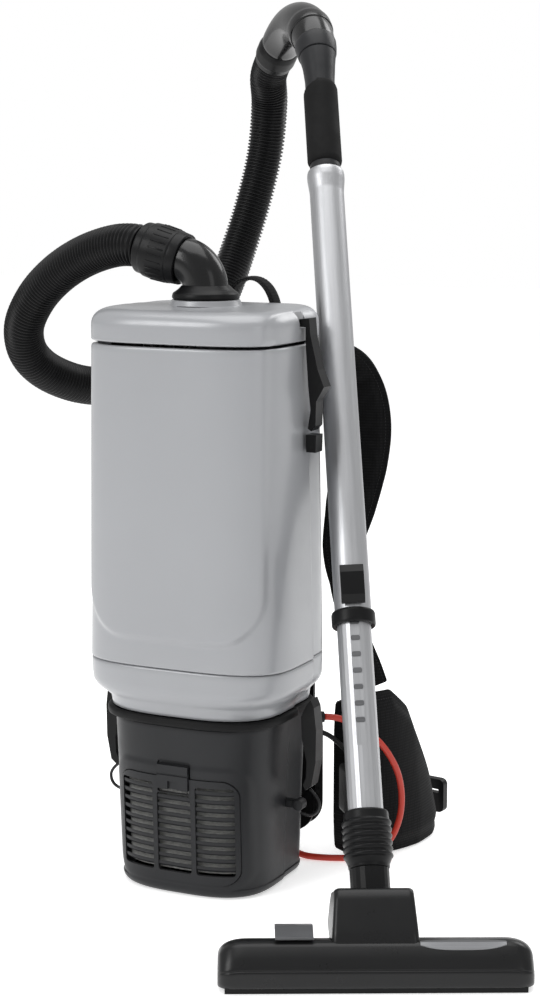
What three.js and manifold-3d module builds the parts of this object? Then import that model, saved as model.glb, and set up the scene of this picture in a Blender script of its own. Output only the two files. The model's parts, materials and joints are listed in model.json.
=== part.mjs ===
// Backpack vacuum cleaner: the pack with its harness, a ribbed hose, a telescopic wand and a floor tool.
// Millimetres, +Z up. The origin is the centre of the base's flat underside on the floor. -Y is the
// front, with the exhaust grille, and +Y faces the wearer's back.
import * as THREE from 'three';
import { mergeVertices } from 'three/addons/utils/BufferGeometryUtils.js';
import Module from 'manifold-3d';

// ---------------------------------------------------------------- driving dimensions
const GAP = 0.3;                  // running gap between touching pieces
const WALL = 3;                   // moulded wall of the pack's shells

const BASE_HEIGHT = 169;          // motor base, from the floor
const DISH_BOTTOM = 178;          // bowl between the base and the dust chamber
const SHELL_BOTTOM = 226.3;       // dust chamber
const SHELL_TOP = 531;
const LID_BOTTOM = 533.5;
const LID_TOP = 566;
const COLLAR_TOP = 571;           // inlet collar on the lid

const SHELL = { side: 110, front: 84, rear: 88, power: 3.6, rearRadius: 48, stepY: 18, step: 5 };
const SHELL_TAPER = { side: 0.93, front: 0.976 };    // plan scale at the shell's top
const NECK = { side: 89, front: 73, rear: 72, power: 3, rearRadius: 28, stepY: 12, step: 2 };
const BASE = { side: 86, front: 74, rear: 70, power: 3, rearRadius: 28, stepY: 10, step: 1.5 };
const BASE_FOOT_SCALE = 0.925;    // plan scale of the base's front half at the floor

const TUBE_SIDES = 20;            // facets round tubes
const HOSE_DIAMETER = 41.5;
const LEAD_DIAMETER = 6.5;
const CONTROL_DIAMETER = 5;

const GLAND_FOOT = new THREE.Vector3(74.5, 56, 155);       // where the supply lead leaves the base
const GLAND_AXIS = new THREE.Vector3(0.82, 0.57, 0).normalize();

const WAND_PIVOT = new THREE.Vector3(237.7, -146.8, 45);   // floor tool's tilt axis
const WAND_YAW = 26.25;           // degrees, floor tool turned about the vertical
const WAND_ROLL = 2.55;
const WAND_LEAN = 31;             // the wand leans back from the vertical
const OUTER_TUBE = { low: 281, high: 752, radius: 17.3, bore: 16.35 };
const INNER_TUBE = { low: 92, high: 562, radius: 16, bore: 14.6 };
const HANDLE_START = 870;         // where the handle starts to bend, along the wand
const HANDLE_BEND = 115;          // radius of the handle's centre line
const HANDLE_TWIST = 17;          // degrees, the bend turned about the wand

const wasm = await Module();
wasm.setup();

const object = new THREE.Group();
const DEG = THREE.MathUtils.DEG2RAD;

// ---------------------------------------------------------------- finishes
function finish(color, roughness, metalness = 0) {
  return () => new THREE.MeshStandardMaterial({ color, roughness, metalness });
}
const SILVER_GREY = finish(0xa9abae, 0.35);
const DARK_GREY = finish(0x43464a, 0.5);
const BLACK = finish(0x1b1c1e, 0.45);
const RUBBER = finish(0x131314, 0.8);
const STEEL = finish(0xb4b6b9, 0.3, 0.9);
const CLOTH = finish(0x18191b, 0.95);
const FILTER = finish(0xb9bcbd, 0.9);
const RED = finish(0xb23324, 0.45);

function piece(name, geometry, material, parent = object) {
  const mesh = new THREE.Mesh(geometry, material());
  mesh.name = name;
  parent.add(mesh);
  return mesh;
}

// ---------------------------------------------------------------- solids
function solid(geometry) {
  const bare = geometry.clone();
  for (const name of Object.keys(bare.attributes)) {
    if (name !== 'position') bare.deleteAttribute(name);
  }
  const merged = mergeVertices(bare, 1e-3);
  return new wasm.Manifold(new wasm.Mesh({
    numProp: 3,
    vertProperties: new Float32Array(merged.attributes.position.array),
    triVerts: new Uint32Array(merged.index.array),
  }));
}

function surface(body) {
  const mesh = body.getMesh();
  const geometry = new THREE.BufferGeometry();
  geometry.setAttribute('position', new THREE.BufferAttribute(mesh.vertProperties, 3));
  geometry.setIndex(new THREE.BufferAttribute(mesh.triVerts, 1));
  geometry.computeVertexNormals();
  return geometry;
}

const cut = (body, ...tools) => tools.reduce((rest, tool) => rest.subtract(tool), body);
const join = (body, ...others) => others.reduce((sum, other) => sum.add(other), body);

function box(low, high) {
  const size = low.map((value, axis) => high[axis] - value);
  const middle = low.map((value, axis) => (high[axis] + value) / 2);
  return new THREE.BoxGeometry(...size).translate(...middle);
}

function mirrored(low, high) {
  return box([-high[0], low[1], low[2]], [-low[0], high[1], high[2]]);
}

// Cylinder along Z between two heights, or between two radii.
function cylinder(radius, low, high, topRadius = radius, sides = TUBE_SIDES) {
  return new THREE.CylinderGeometry(topRadius, radius, high - low, sides)
    .rotateX(90 * DEG).translate(0, 0, (low + high) / 2);
}

// Turned piece about Z: the profile lists radius and height and closes on the axis or on itself.
function turned(profile, sides = TUBE_SIDES) {
  const points = profile.map(([radius, height]) => new THREE.Vector2(radius, height));
  return new THREE.LatheGeometry(points, sides).rotateX(90 * DEG);
}

function ring(radius, bore, low, high, sides = TUBE_SIDES) {
  return turned([[bore, low], [radius, low], [radius, high], [bore, high], [bore, low]], sides);
}

function polygon(points) {
  return new THREE.Shape(points.map(([x, y]) => new THREE.Vector2(x, y)));
}

// A side view, given as Y and Z, extruded along X between two limits.
function sideProfile(points, low, high, bevel = {}) {
  const options = { depth: high - low, bevelEnabled: false, curveSegments: 4, ...bevel };
  const geometry = new THREE.ExtrudeGeometry(polygon(points), options);
  return geometry.applyMatrix4(new THREE.Matrix4().set(
    0, 0, 1, low,
    1, 0, 0, 0,
    0, 1, 0, 0,
    0, 0, 0, 1,
  ));
}

// A front view, given as X and Z, extruded along Y between two limits.
function frontProfile(shape, low, high) {
  const geometry = new THREE.ExtrudeGeometry(shape, {
    depth: high - low, bevelEnabled: false, curveSegments: 5,
  });
  return geometry.rotateX(90 * DEG).translate(0, high, 0);
}

function roundedRectangle(left, bottom, right, top, radius) {
  const shape = new THREE.Shape();
  shape.moveTo(left + radius, bottom);
  shape.lineTo(right - radius, bottom);
  shape.absarc(right - radius, bottom + radius, radius, -90 * DEG, 0, false);
  shape.lineTo(right, top - radius);
  shape.absarc(right - radius, top - radius, radius, 0, 90 * DEG, false);
  shape.lineTo(left + radius, top);
  shape.absarc(left + radius, top - radius, radius, 90 * DEG, 180 * DEG, false);
  shape.lineTo(left, bottom + radius);
  shape.absarc(left + radius, bottom + radius, radius, 180 * DEG, 270 * DEG, false);
  return shape;
}

// ---------------------------------------------------------------- the pack's plan outline
// A crowned, round-cornered front half and a squarer rear half that steps in at the sides.
function planOutline(plan, inset = 0, frontSteps = 20) {
  const side = plan.side - inset;
  const back = side - plan.step;
  const front = plan.front - inset;
  const rear = plan.rear - inset;
  const rearRadius = Math.max(plan.rearRadius - inset, 4);
  const shape = new THREE.Shape();
  shape.moveTo(-side, 0);
  for (let k = 1; k < frontSteps; k += 1) {
    const angle = (k / frontSteps) * 180 * DEG;
    const across = Math.abs(Math.cos(angle)) ** (2 / plan.power) * Math.sign(Math.cos(angle));
    shape.lineTo(-side * across, -front * Math.sin(angle) ** (2 / plan.power));
  }
  shape.lineTo(side, 0);
  shape.lineTo(side, plan.stepY);
  shape.lineTo(back, plan.stepY + plan.step);
  shape.lineTo(back, rear - rearRadius);
  shape.absarc(back - rearRadius, rear - rearRadius, rearRadius, 0, 90 * DEG, false);
  shape.lineTo(rearRadius - back, rear);
  shape.absarc(rearRadius - back, rear - rearRadius, rearRadius, 90 * DEG, 180 * DEG, false);
  shape.lineTo(-back, plan.stepY + plan.step);
  shape.lineTo(-side, plan.stepY);
  return shape;
}

function prism(shape, low, high, options = {}) {
  return new THREE.ExtrudeGeometry(shape, {
    depth: high - low, bevelEnabled: false, curveSegments: 5, ...options,
  }).translate(0, 0, low);
}

// Scales the plan of a prism with height: `scaleAt(z)` gives the factors across and to the front.
function tapered(geometry, scaleAt) {
  const position = geometry.attributes.position;
  for (let i = 0; i < position.count; i += 1) {
    const { across, front } = scaleAt(position.getZ(i));
    const y = position.getY(i);
    position.setXYZ(i, position.getX(i) * across, y < 0 ? y * front : y, position.getZ(i));
  }
  return geometry;
}

function shellScale(z) {
  const t = THREE.MathUtils.clamp((z - SHELL_BOTTOM) / (SHELL_TOP - SHELL_BOTTOM), 0, 1);
  return {
    across: 1 + (SHELL_TAPER.side - 1) * t,
    front: 1 + (SHELL_TAPER.front - 1) * t,
  };
}

function baseScale(z) {
  const scale = BASE_FOOT_SCALE + (1 - BASE_FOOT_SCALE) * THREE.MathUtils.clamp(z / BASE_HEIGHT, 0, 1);
  return { across: scale, front: scale };
}

const shellPrism = (inset, low, high) => solid(tapered(prism(planOutline(SHELL, inset), low, high), shellScale));
const basePrism = (inset, low, high) => solid(tapered(prism(planOutline(BASE, inset), low, high), baseScale));

// ---------------------------------------------------------------- swept and lofted solids
// A solid of revolution round a curved axis. The profile lists the place along the curve, from 0 to 1,
// and the radius; a profile that starts and ends at radius 0 is capped, any other closes on itself.
function sweptRound(curve, profile, sides = TUBE_SIDES, sideways = new THREE.Vector3(1, 0, 0)) {
  const closed = profile[0][1] > 0;
  const positions = [];
  for (const [place, radius] of profile) {
    const centre = curve.getPointAt(place);
    const along = curve.getTangentAt(place);
    const across = new THREE.Vector3().crossVectors(along, sideways).normalize();
    const other = new THREE.Vector3().crossVectors(along, across).normalize();
    for (let k = 0; k < sides; k += 1) {
      const angle = (k / sides) * 2 * Math.PI;
      positions.push(centre.clone()
        .addScaledVector(across, radius * Math.cos(angle))
        .addScaledVector(other, radius * Math.sin(angle)));
    }
  }
  return stitched(positions, profile.length, sides, closed);
}

// A solid through rings of points, capped at both ends.
function lofted(rings) {
  const sides = rings[0].length;
  const positions = rings.flat();
  const first = new THREE.Vector3();
  const last = new THREE.Vector3();
  rings[0].forEach((point) => first.addScaledVector(point, 1 / sides));
  rings.at(-1).forEach((point) => last.addScaledVector(point, 1 / sides));
  const capped = [...new Array(sides).fill(first), ...positions, ...new Array(sides).fill(last)];
  return stitched(capped, rings.length + 2, sides, false);
}

function stitched(positions, count, sides, closed) {
  const geometry = new THREE.BufferGeometry().setFromPoints(positions);
  const index = [];
  const spans = closed ? count : count - 1;
  for (let i = 0; i < spans; i += 1) {
    for (let k = 0; k < sides; k += 1) {
      const a = i * sides + k;
      const b = i * sides + ((k + 1) % sides);
      const c = ((i + 1) % count) * sides + k;
      const d = ((i + 1) % count) * sides + ((k + 1) % sides);
      index.push(a, b, c, b, d, c);
    }
  }
  geometry.setIndex(index);
  return outward(mergeVertices(geometry, 1e-3));
}

// Drops collapsed triangles and turns the faces outward.
function outward(geometry) {
  const source = Array.from(geometry.index.array);
  const position = geometry.attributes.position;
  const corners = [0, 1, 2].map(() => new THREE.Vector3());
  let kept = [];
  let volume = 0;
  for (let i = 0; i < source.length; i += 3) {
    const [a, b, c] = source.slice(i, i + 3);
    if (a === b || b === c || a === c) continue;
    kept.push(a, b, c);
    corners.forEach((corner, j) => corner.fromBufferAttribute(position, source[i + j]));
    volume += corners[0].dot(corners[1].clone().cross(corners[2]));
  }
  if (volume < 0) {
    kept = kept.map((_, i) => kept[i - (i % 3) + [0, 2, 1][i % 3]]);
  }
  geometry.setIndex(kept);
  geometry.computeVertexNormals();
  return geometry;
}

// A flat strap or pad along a path. Each station gives its centre, the direction of its width, its width
// and its thickness.
function strap(stations) {
  const rings = stations.map((station, i) => {
    const before = stations[Math.max(i - 1, 0)].at;
    const after = stations[Math.min(i + 1, stations.length - 1)].at;
    const along = new THREE.Vector3().subVectors(after, before).normalize();
    const width = station.across.clone().addScaledVector(along, -station.across.dot(along)).normalize();
    const out = new THREE.Vector3().crossVectors(along, width).normalize();
    const corner = Math.min(station.thick * 0.35, 4);
    const w = station.wide / 2;
    const h = station.thick / 2;
    const outline = [
      [w - corner, -h], [w, corner - h], [w, h - corner], [w - corner, h],
      [corner - w, h], [-w, h - corner], [-w, corner - h], [corner - w, -h],
    ];
    return outline.map(([u, v]) => station.at.clone().addScaledVector(width, u).addScaledVector(out, v));
  });
  return lofted(rings);
}

const vector = (x, y, z) => new THREE.Vector3(x, y, z);

// ---------------------------------------------------------------- motor base
const DOOR = { half: 64, low: 15, high: 119, proud: 1.4, depth: 2.6 };
const LATCH = { half: 16.5, low: 107.5, high: 131 };
const GRILLE = { low: 26, pitch: 8.4, slot: 4.2, rows: 10, centreRows: 9 };
const COLUMNS = [[-59, -24], [-17, 17], [24, 59]];
const CATCH = { x: 95, y: 10, z: 82, radius: 5.5, half: 6 };

function doorBlock(margin) {
  const outline = roundedRectangle(
    -DOOR.half - margin, DOOR.low - margin, DOOR.half + margin, DOOR.high + margin, 16,
  );
  return solid(frontProfile(outline, -100, -30));
}

function baseHousing() {
  const wall = 5.5;
  const hollow = basePrism(wall, wall, BASE_HEIGHT + 1);
  const pocket = doorBlock(0.5).subtract(basePrism(DOOR.depth, 0, BASE_HEIGHT));
  const window = solid(box([-60, -100, 24], [60, -40, 112]));
  const latchPocket = solid(box([-LATCH.half - 1, -100, LATCH.low - 2], [LATCH.half + 1, -69.9, LATCH.high + 4]));
  let body = cut(basePrism(0, 0, BASE_HEIGHT), hollow, pocket, window, latchPocket);
  for (const side of [-1, 1]) {
    const boss = new THREE.CylinderGeometry(CATCH.radius, CATCH.radius, CATCH.half * 2, 16)
      .translate(side * CATCH.x, CATCH.y, CATCH.z);
    const arm = side > 0
      ? box([77, CATCH.y - 4, CATCH.z - 4], [CATCH.x, CATCH.y + 4, CATCH.z + 4])
      : mirrored([77, CATCH.y - 4, CATCH.z - 4], [CATCH.x, CATCH.y + 4, CATCH.z + 4]);
    body = join(body, solid(arm), solid(boss));
  }
  const outlet = solid(box([60, 40, 134], [90, 80, 166]));
  return cut(body, outlet.intersect(solid(glandBore(9.3))));
}

function exhaustDoor() {
  const slab = doorBlock(0).intersect(basePrism(-DOOR.proud, 0, BASE_HEIGHT))
    .subtract(basePrism(DOOR.depth - GAP, 0, BASE_HEIGHT));
  const slots = [];
  COLUMNS.forEach(([left, right], column) => {
    const rows = column === 1 ? GRILLE.centreRows : GRILLE.rows;
    for (let row = 0; row < rows; row += 1) {
      const low = GRILLE.low + row * GRILLE.pitch;
      slots.push(solid(box([left, -100, low], [right, -30, low + GRILLE.slot])));
    }
  });
  const notch = solid(box([-LATCH.half - 0.6, -100, LATCH.low - 4], [LATCH.half + 0.6, -30, DOOR.high + 1]));
  return cut(slab, ...slots, notch);
}

// Sprung thumb catch in the notch at the door's top edge.
function doorLatch() {
  const body = solid(box([-LATCH.half, -75.6, LATCH.low], [LATCH.half, -70.4, LATCH.high]));
  const fingerSlot = solid(box([-5, -77, LATCH.low - 1], [5, -73.4, LATCH.low + 8]));
  const groove = solid(box([-LATCH.half - 1, -77, 121], [LATCH.half + 1, -74.4, 123]));
  return cut(body, fingerSlot, groove);
}

function exhaustFilter() {
  const slab = basePrism(6, 25, 111).subtract(basePrism(15, 24, 112));
  return slab.intersect(solid(box([-58, -100, 20], [58, -42, 120])));
}

piece('base_housing', surface(baseHousing()), DARK_GREY);
piece('exhaust_door', surface(exhaustDoor()), DARK_GREY);
piece('door_latch', surface(doorLatch()), DARK_GREY);
piece('exhaust_filter', surface(exhaustFilter()), FILTER);

// ---------------------------------------------------------------- suction motor
const MOTOR_Y = 6;
const FAN = { low: 98, high: 112, radius: 47 };

function motorCan() {
  return turned([
    [34, 7], [41, 7], [41, 90], [55, 92], [55, 122], [16, 122], [16, 119], [51, 119],
    [51, 95], [37, 93], [37, 11], [34, 11], [34, 7],
  ]).translate(0, MOTOR_Y, 0);
}

function motorArmature() {
  return turned([
    [0, 14], [5, 14], [5, 30], [27, 30], [27, 74], [10, 76], [10, 88], [5, 88], [5, 116], [0, 116],
  ], 20).translate(0, MOTOR_Y, 0);
}

function fanImpeller() {
  const disc = solid(turned([
    [5.4, FAN.low], [FAN.radius, FAN.low], [FAN.radius, FAN.low + 2], [9, FAN.low + 2],
    [9, FAN.high], [5.4, FAN.high], [5.4, FAN.low],
  ], 24));
  const vanes = [];
  for (let k = 0; k < 7; k += 1) {
    const vane = box([8, -1.2, FAN.low + 1], [FAN.radius - 1, 1.2, FAN.high - 2]).rotateZ((k / 7) * 2 * Math.PI);
    vanes.push(solid(vane));
  }
  return surface(join(disc, ...vanes)).translate(0, MOTOR_Y, 0);
}

piece('motor_can', motorCan(), BLACK);
piece('motor_armature', motorArmature(), STEEL);
piece('fan_impeller', fanImpeller(), STEEL);

// ---------------------------------------------------------------- dust chamber
function baseGasket() {
  const lip = prism(planOutline({ ...NECK, side: 93, front: 77, rear: 74 }), BASE_HEIGHT + GAP, DISH_BOTTOM - GAP);
  const hole = prism(planOutline(NECK, 10), BASE_HEIGHT - 1, DISH_BOTTOM + 1);
  return cut(solid(lip), solid(hole));
}

function neckToRim(inset) {
  const steps = [[DISH_BOTTOM, 0], [188, 0.05], [196, 0.5], [204, 0.84], [213, 0.97], [226, 1]];
  const pointsOf = (plan) => planOutline(plan, inset).getSpacedPoints(44);
  const neck = pointsOf(NECK);
  const rim = pointsOf(SHELL);
  const low = inset > 0 ? DISH_BOTTOM - 1 : DISH_BOTTOM;
  const high = inset > 0 ? 227 : 226;
  const rings = steps.map(([z, t], i) => {
    const height = i === 0 ? low : i === steps.length - 1 ? high : z;
    return neck.slice(0, -1).map((point, k) => vector(
      point.x + (rim[k].x - point.x) * t, point.y + (rim[k].y - point.y) * t, height,
    ));
  });
  return solid(lofted(rings));
}

function bodyShell() {
  const frame = shellPrism(2, SHELL_BOTTOM, SHELL_TOP);
  const outer = shellPrism(0, SHELL_BOTTOM, SHELL_TOP);
  const panelShape = roundedRectangle(-95, 256, 95, 640, 46);
  const panel = outer.intersect(solid(frontProfile(panelShape, -100, -40)));
  const rear = outer.intersect(solid(box([-120, 8, 200], [120, 120, 560])));
  const skirt = shellPrism(0, SHELL_BOTTOM, SHELL_BOTTOM + 8);
  const chamber = shellPrism(2 + WALL, SHELL_BOTTOM + WALL, SHELL_TOP + 1);
  const airHole = solid(cylinder(44, SHELL_BOTTOM - 1, SHELL_BOTTOM + WALL + 1));
  return cut(join(frame, panel, rear, skirt), chamber, airHole);
}

function lidShell() {
  const plan = {
    side: SHELL.side * SHELL_TAPER.side, front: SHELL.front * SHELL_TAPER.front, rear: SHELL.rear,
    power: SHELL.power, rearRadius: 43, stepY: SHELL.stepY, step: 4.5,
  };
  const dome = (inset, top) => {
    const round = 15 - inset;
    return solid(prism(planOutline(plan, inset), LID_BOTTOM - 30, top - round, {
      curveSegments: 5, bevelEnabled: true, bevelSegments: 3, bevelThickness: round, bevelSize: round,
      bevelOffset: -round,
    }));
  };
  const below = solid(box([-130, -130, 400], [130, 130, LID_BOTTOM]));
  const under = solid(box([-130, -130, 400], [130, 130, LID_BOTTOM - 1]));
  const collar = solid(turned([[0, LID_TOP - 6], [34, LID_TOP - 6], [32, COLLAR_TOP], [0, COLLAR_TOP]], 36));
  const bore = solid(cylinder(22.3, LID_BOTTOM - 1, COLLAR_TOP + 1));
  const clipSeats = [
    solid(box([92, 0, 546], [126, 23, 600])), solid(mirrored([92, 0, 546], [126, 23, 600])),
  ];
  const outer = join(cut(dome(0, LID_TOP), below), collar);
  const hollow = dome(WALL + 6, LID_TOP - WALL).subtract(under);
  return cut(outer, hollow, bore, ...clipSeats);
}

function dustBag() {
  return solid(tapered(prism(roundedRectangle(-78, -56, 78, 60, 30), 262, 488, {
    curveSegments: 5, bevelEnabled: true, bevelSegments: 2, bevelThickness: 12, bevelSize: 12, bevelOffset: -12,
  }), shellScale));
}

function bagPlate() {
  const plate = shellPrism(5.6, 503, 507);
  return cut(plate, solid(cylinder(21, 500, 510)));
}

piece('base_gasket', surface(baseGasket()), RUBBER);
piece('lower_dish', surface(cut(neckToRim(0), neckToRim(4))), SILVER_GREY);
piece('body_shell', surface(bodyShell()), SILVER_GREY);
piece('lid_shell', surface(lidShell()), SILVER_GREY);
piece('motor_filter', cylinder(56, SHELL_BOTTOM + WALL + GAP, SHELL_BOTTOM + WALL + 14), FILTER);
piece('dust_bag', surface(dustBag()), FILTER);
piece('bag_plate', surface(bagPlate()), BLACK);

// ---------------------------------------------------------------- side clips
const UPPER_CLIP = { pivotZ: 456, top: 557, y: 3, yEnd: 19 };
const LOWER_CLIP = { pivotZ: 186, bottom: 100, y: 2, yEnd: 18 };

// Clip that swings out about its foot; its hook end lies in the lid's recess.
function upperClip(side) {
  const outline = [
    [105.8, 452], [109.3, 450], [113.8, 455], [114.3, 478], [122.3, 492], [115.8, 508], [108.3, 540],
    [106.8, 556], [97.3, 555], [95.8, 548.2], [103.3, 547.4], [103.3, 533.8], [104.1, 520], [106.3, 490],
    [108.5, 470],
  ];
  return side > 0 ? sideBar(outline, UPPER_CLIP) : mirroredBar(outline, UPPER_CLIP);
}

// A front view given as X and Z, extruded along Y between the clip's limits.
function sideBar(outline, limits) {
  return frontProfile(polygon(outline), limits.y, limits.yEnd);
}

function mirroredBar(outline, limits) {
  const flipped = outline.map(([x, z]) => [-x, z]).reverse();
  return frontProfile(polygon(flipped), limits.y, limits.yEnd);
}

function upperBracket(side) {
  const outline = [[103, 430], [114.8, 430], [115.3, 446.6], [103, 446.6]];
  const limits = { y: 1, yEnd: 16.5 };
  const raw = side > 0 ? sideBar(outline, limits) : mirroredBar(outline, limits);
  return surface(cut(solid(raw), shellPrism(-GAP, 400, SHELL_TOP)));
}

function lowerClip(side) {
  const outline = [
    [110, 190], [113.5, 182], [116, 160], [115.5, 128], [111, 104], [105, 99], [102, 104], [105.5, 112],
    [106, 128], [101, 150], [100, 172], [105.5, 184],
  ];
  return side > 0 ? sideBar(outline, LOWER_CLIP) : mirroredBar(outline, LOWER_CLIP);
}

// Spring-wire bail: from the clip's foot, out and round under the catch on the base.
function wireBail(side) {
  const path = new THREE.CatmullRomCurve3([
    [106, 98.2], [111, 94], [116, 86], [114, 77], [106, 72], [96.5, 73.2],
  ].map(([x, z]) => vector(side * x, CATCH.y, z)));
  const section = new THREE.Shape().absarc(0, 0, 1.6, 0, 360 * DEG, false);
  return new THREE.ExtrudeGeometry(section, { extrudePath: path, steps: 14, curveSegments: 4 });
}

for (const [side, word] of [[1, 'right'], [-1, 'left']]) {
  piece(`upper_clip_${word}`, upperClip(side), BLACK);
  piece(`upper_bracket_${word}`, upperBracket(side), BLACK);
  piece(`lower_clip_${word}`, lowerClip(side), BLACK);
  piece(`wire_bail_${word}`, wireBail(side), BLACK);
}

// ---------------------------------------------------------------- inlet elbow and hose
const ELBOW = { radius: 21.7, bore: 19, bend: 28, turn: 76 * DEG, start: 580.4 };
const OUTLET_AXIS = vector(-Math.sin(ELBOW.turn), 0, Math.cos(ELBOW.turn));

// Straight, then an arc, then straight again, in the plane of `up` and `toward`.
class BentLine extends THREE.Curve {
  constructor({ origin, up, toward, rise, bend, turn, tail }) {
    super();
    Object.assign(this, { origin, up, toward, rise, bend, turn, tail });
    this.total = rise + bend * turn + tail;
  }

  getPoint(t, target = new THREE.Vector3()) {
    const run = t * this.total;
    const angle = THREE.MathUtils.clamp((run - this.rise) / this.bend, 0, this.turn);
    const rest = Math.max(run - this.rise - this.bend * this.turn, 0);
    const along = Math.min(run, this.rise) + this.bend * Math.sin(angle) + rest * Math.cos(this.turn);
    const away = this.bend * (1 - Math.cos(angle)) + rest * Math.sin(this.turn);
    return target.copy(this.origin).addScaledVector(this.up, along).addScaledVector(this.toward, away);
  }
}

const elbowLine = new BentLine({
  origin: vector(0, 0, LID_BOTTOM + 4), up: vector(0, 0, 1), toward: vector(-1, 0, 0),
  rise: ELBOW.start - LID_BOTTOM - 4, bend: ELBOW.bend, turn: ELBOW.turn, tail: 20,
});

function alongLine(line, length) {
  return THREE.MathUtils.clamp(length / line.total, 0, 1);
}

function inletElbow() {
  const end = elbowLine.total;
  const spigot = end - 20;
  const bends = [];
  for (let k = 0; k <= 6; k += 1) bends.push(elbowLine.rise + (elbowLine.bend * elbowLine.turn * k) / 6);
  const profile = [
    [0, ELBOW.radius], ...bends.map((run) => [run, ELBOW.radius]), [spigot + 0.5, ELBOW.radius],
    [spigot + 0.5, 20.6], [end, 20.6], [end, ELBOW.bore - 1], ...bends.reverse().map((run) => [run, ELBOW.bore - 1]),
    [0, ELBOW.bore - 1],
  ];
  return sweptRound(elbowLine, profile.map(([run, r]) => [alongLine(elbowLine, run), r]), TUBE_SIDES, vector(0, 1, 0));
}

function placeAlong(mesh, origin, axis) {
  mesh.position.copy(origin);
  mesh.quaternion.setFromUnitVectors(vector(0, 0, 1), axis);
  return mesh;
}

function hoseCuff() {
  return turned([
    [20.95, 0], [24.6, 0], [25.6, 8], [26.9, 30], [26.2, 38], [23.8, 46], [20.95, 46], [20.95, 0],
  ]);
}

const cuffStart = elbowLine.getPoint((elbowLine.total - 19) / elbowLine.total);
piece('inlet_elbow', inletElbow(), BLACK);
placeAlong(piece('hose_cuff', hoseCuff(), BLACK), cuffStart, OUTLET_AXIS);

// The hose's centre line, from the lid cuff round the pack's left side and behind it to the handle.
const HOSE_ROUTE = [
  [-68.1, 0, 619.3], [-76, 0.5, 620.7], [-98, 5, 620], [-141, 18, 609], [-183, 32, 589], [-217, 45, 563],
  [-242, 61, 532], [-251.5, 83, 504], [-248.5, 108, 484], [-236, 145, 467], [-222, 185, 459], [-206, 235, 457],
  [-191, 290, 470], [-179, 340, 505], [-172, 382, 557], [-166, 402, 595], [-153, 416, 650], [-140, 423, 712],
  [-131, 415.5, 767], [-124.3, 398.5, 793.2], [-115.1, 387.3, 805.1], [-110.64, 382.91, 809.76],
];
const HOSE_SPLIT = 0.233;         // where the upper stretch, carried by the lid, ends

class Stretch extends THREE.Curve {
  constructor(whole, from, to) {
    super();
    Object.assign(this, { whole, from, to });
  }

  getPoint(t, target) {
    return this.whole.getPointAt(this.from + (this.to - this.from) * t, target);
  }
}

function cord(curve, diameter, steps, curveSegments) {
  const section = new THREE.Shape().absarc(0, 0, diameter / 2, 0, 360 * DEG, false);
  return new THREE.ExtrudeGeometry(section, { extrudePath: curve, steps, curveSegments });
}

const route = (points) => new THREE.CatmullRomCurve3(points.map((point) => vector(...point)), false, 'centripetal');
const hoseLine = route(HOSE_ROUTE);
hoseLine.arcLengthDivisions = 600;
piece('hose_upper', cord(new Stretch(hoseLine, 0, HOSE_SPLIT - 0.0004), HOSE_DIAMETER, 12, 6), RUBBER);
piece('hose_lower', cord(new Stretch(hoseLine, HOSE_SPLIT + 0.0004, 1), HOSE_DIAMETER, 36, 6), RUBBER);

// ---------------------------------------------------------------- harness
const PLATE = { y: 93.5, thick: 4, half: 72, low: 24, high: 506 };

function backPlate() {
  const outline = roundedRectangle(-PLATE.half, PLATE.low, PLATE.half, PLATE.high, 26);
  const plate = solid(frontProfile(outline, PLATE.y, PLATE.y + PLATE.thick));
  const bosses = [-40, 40].flatMap((x) => [250, 360, 480].map((z) => (
    solid(box([x - 9, SHELL.rear + GAP, z - 9], [x + 9, PLATE.y + 1, z + 9]))
  )));
  for (const x of [-40, 40]) {
    bosses.push(solid(box([x - 9, BASE.rear + GAP, 110], [x + 9, PLATE.y + 1, 135])));
  }
  return join(plate, ...bosses);
}

function pad(low, high, round) {
  const [x0, y0, z0] = low;
  const [x1, y1, z1] = high;
  const outline = roundedRectangle(x0 + 6, z0 + 6, x1 - 6, z1 - 6, round);
  return new THREE.ExtrudeGeometry(outline, {
    depth: y1 - y0 - 12, curveSegments: 4, bevelEnabled: true, bevelSegments: 2, bevelThickness: 6, bevelSize: 6,
  }).rotateX(90 * DEG).translate(0, y1 - 6, 0);
}

const PAD_FACE = PLATE.y + PLATE.thick + 0.5;

// Hip wing: each station gives the plan place of the wing's middle, its lower and upper edge, and how far
// the lower edge stands out.
function hipWing(side) {
  const stations = [
    [88, 108, 8, 160, 0], [104, 112, 2, 167, 2], [120, 126, 0.8, 170, 6], [131, 150, 0.8, 169, 12],
    [138, 178, 0.8, 146, 16], [140, 206, 2, 100, 17], [138, 228, 7, 62, 14],
  ];
  const thick = 15;
  const rings = stations.map(([x, y, low, high, flare], i) => {
    const before = stations[Math.max(i - 1, 0)];
    const after = stations[Math.min(i + 1, stations.length - 1)];
    const along = vector(after[0] - before[0], after[1] - before[1], 0).normalize();
    const out = vector(along.y, -along.x, 0);
    const middle = (low + high) / 2;
    const outline = [
      [thick / 2 + flare, low + 5], [thick / 2 + flare / 2, middle], [thick / 2, high - 5], [thick / 4, high],
      [-thick / 4, high], [-thick / 2, high - 5], [flare / 2 - thick / 2, middle], [flare - thick / 2, low + 5],
      [flare - thick / 4, low], [flare + thick / 4, low],
    ];
    return outline.map(([offset, z]) => vector(side * (x + out.x * offset), y + out.y * offset, z));
  });
  return lofted(rings);
}

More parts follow.
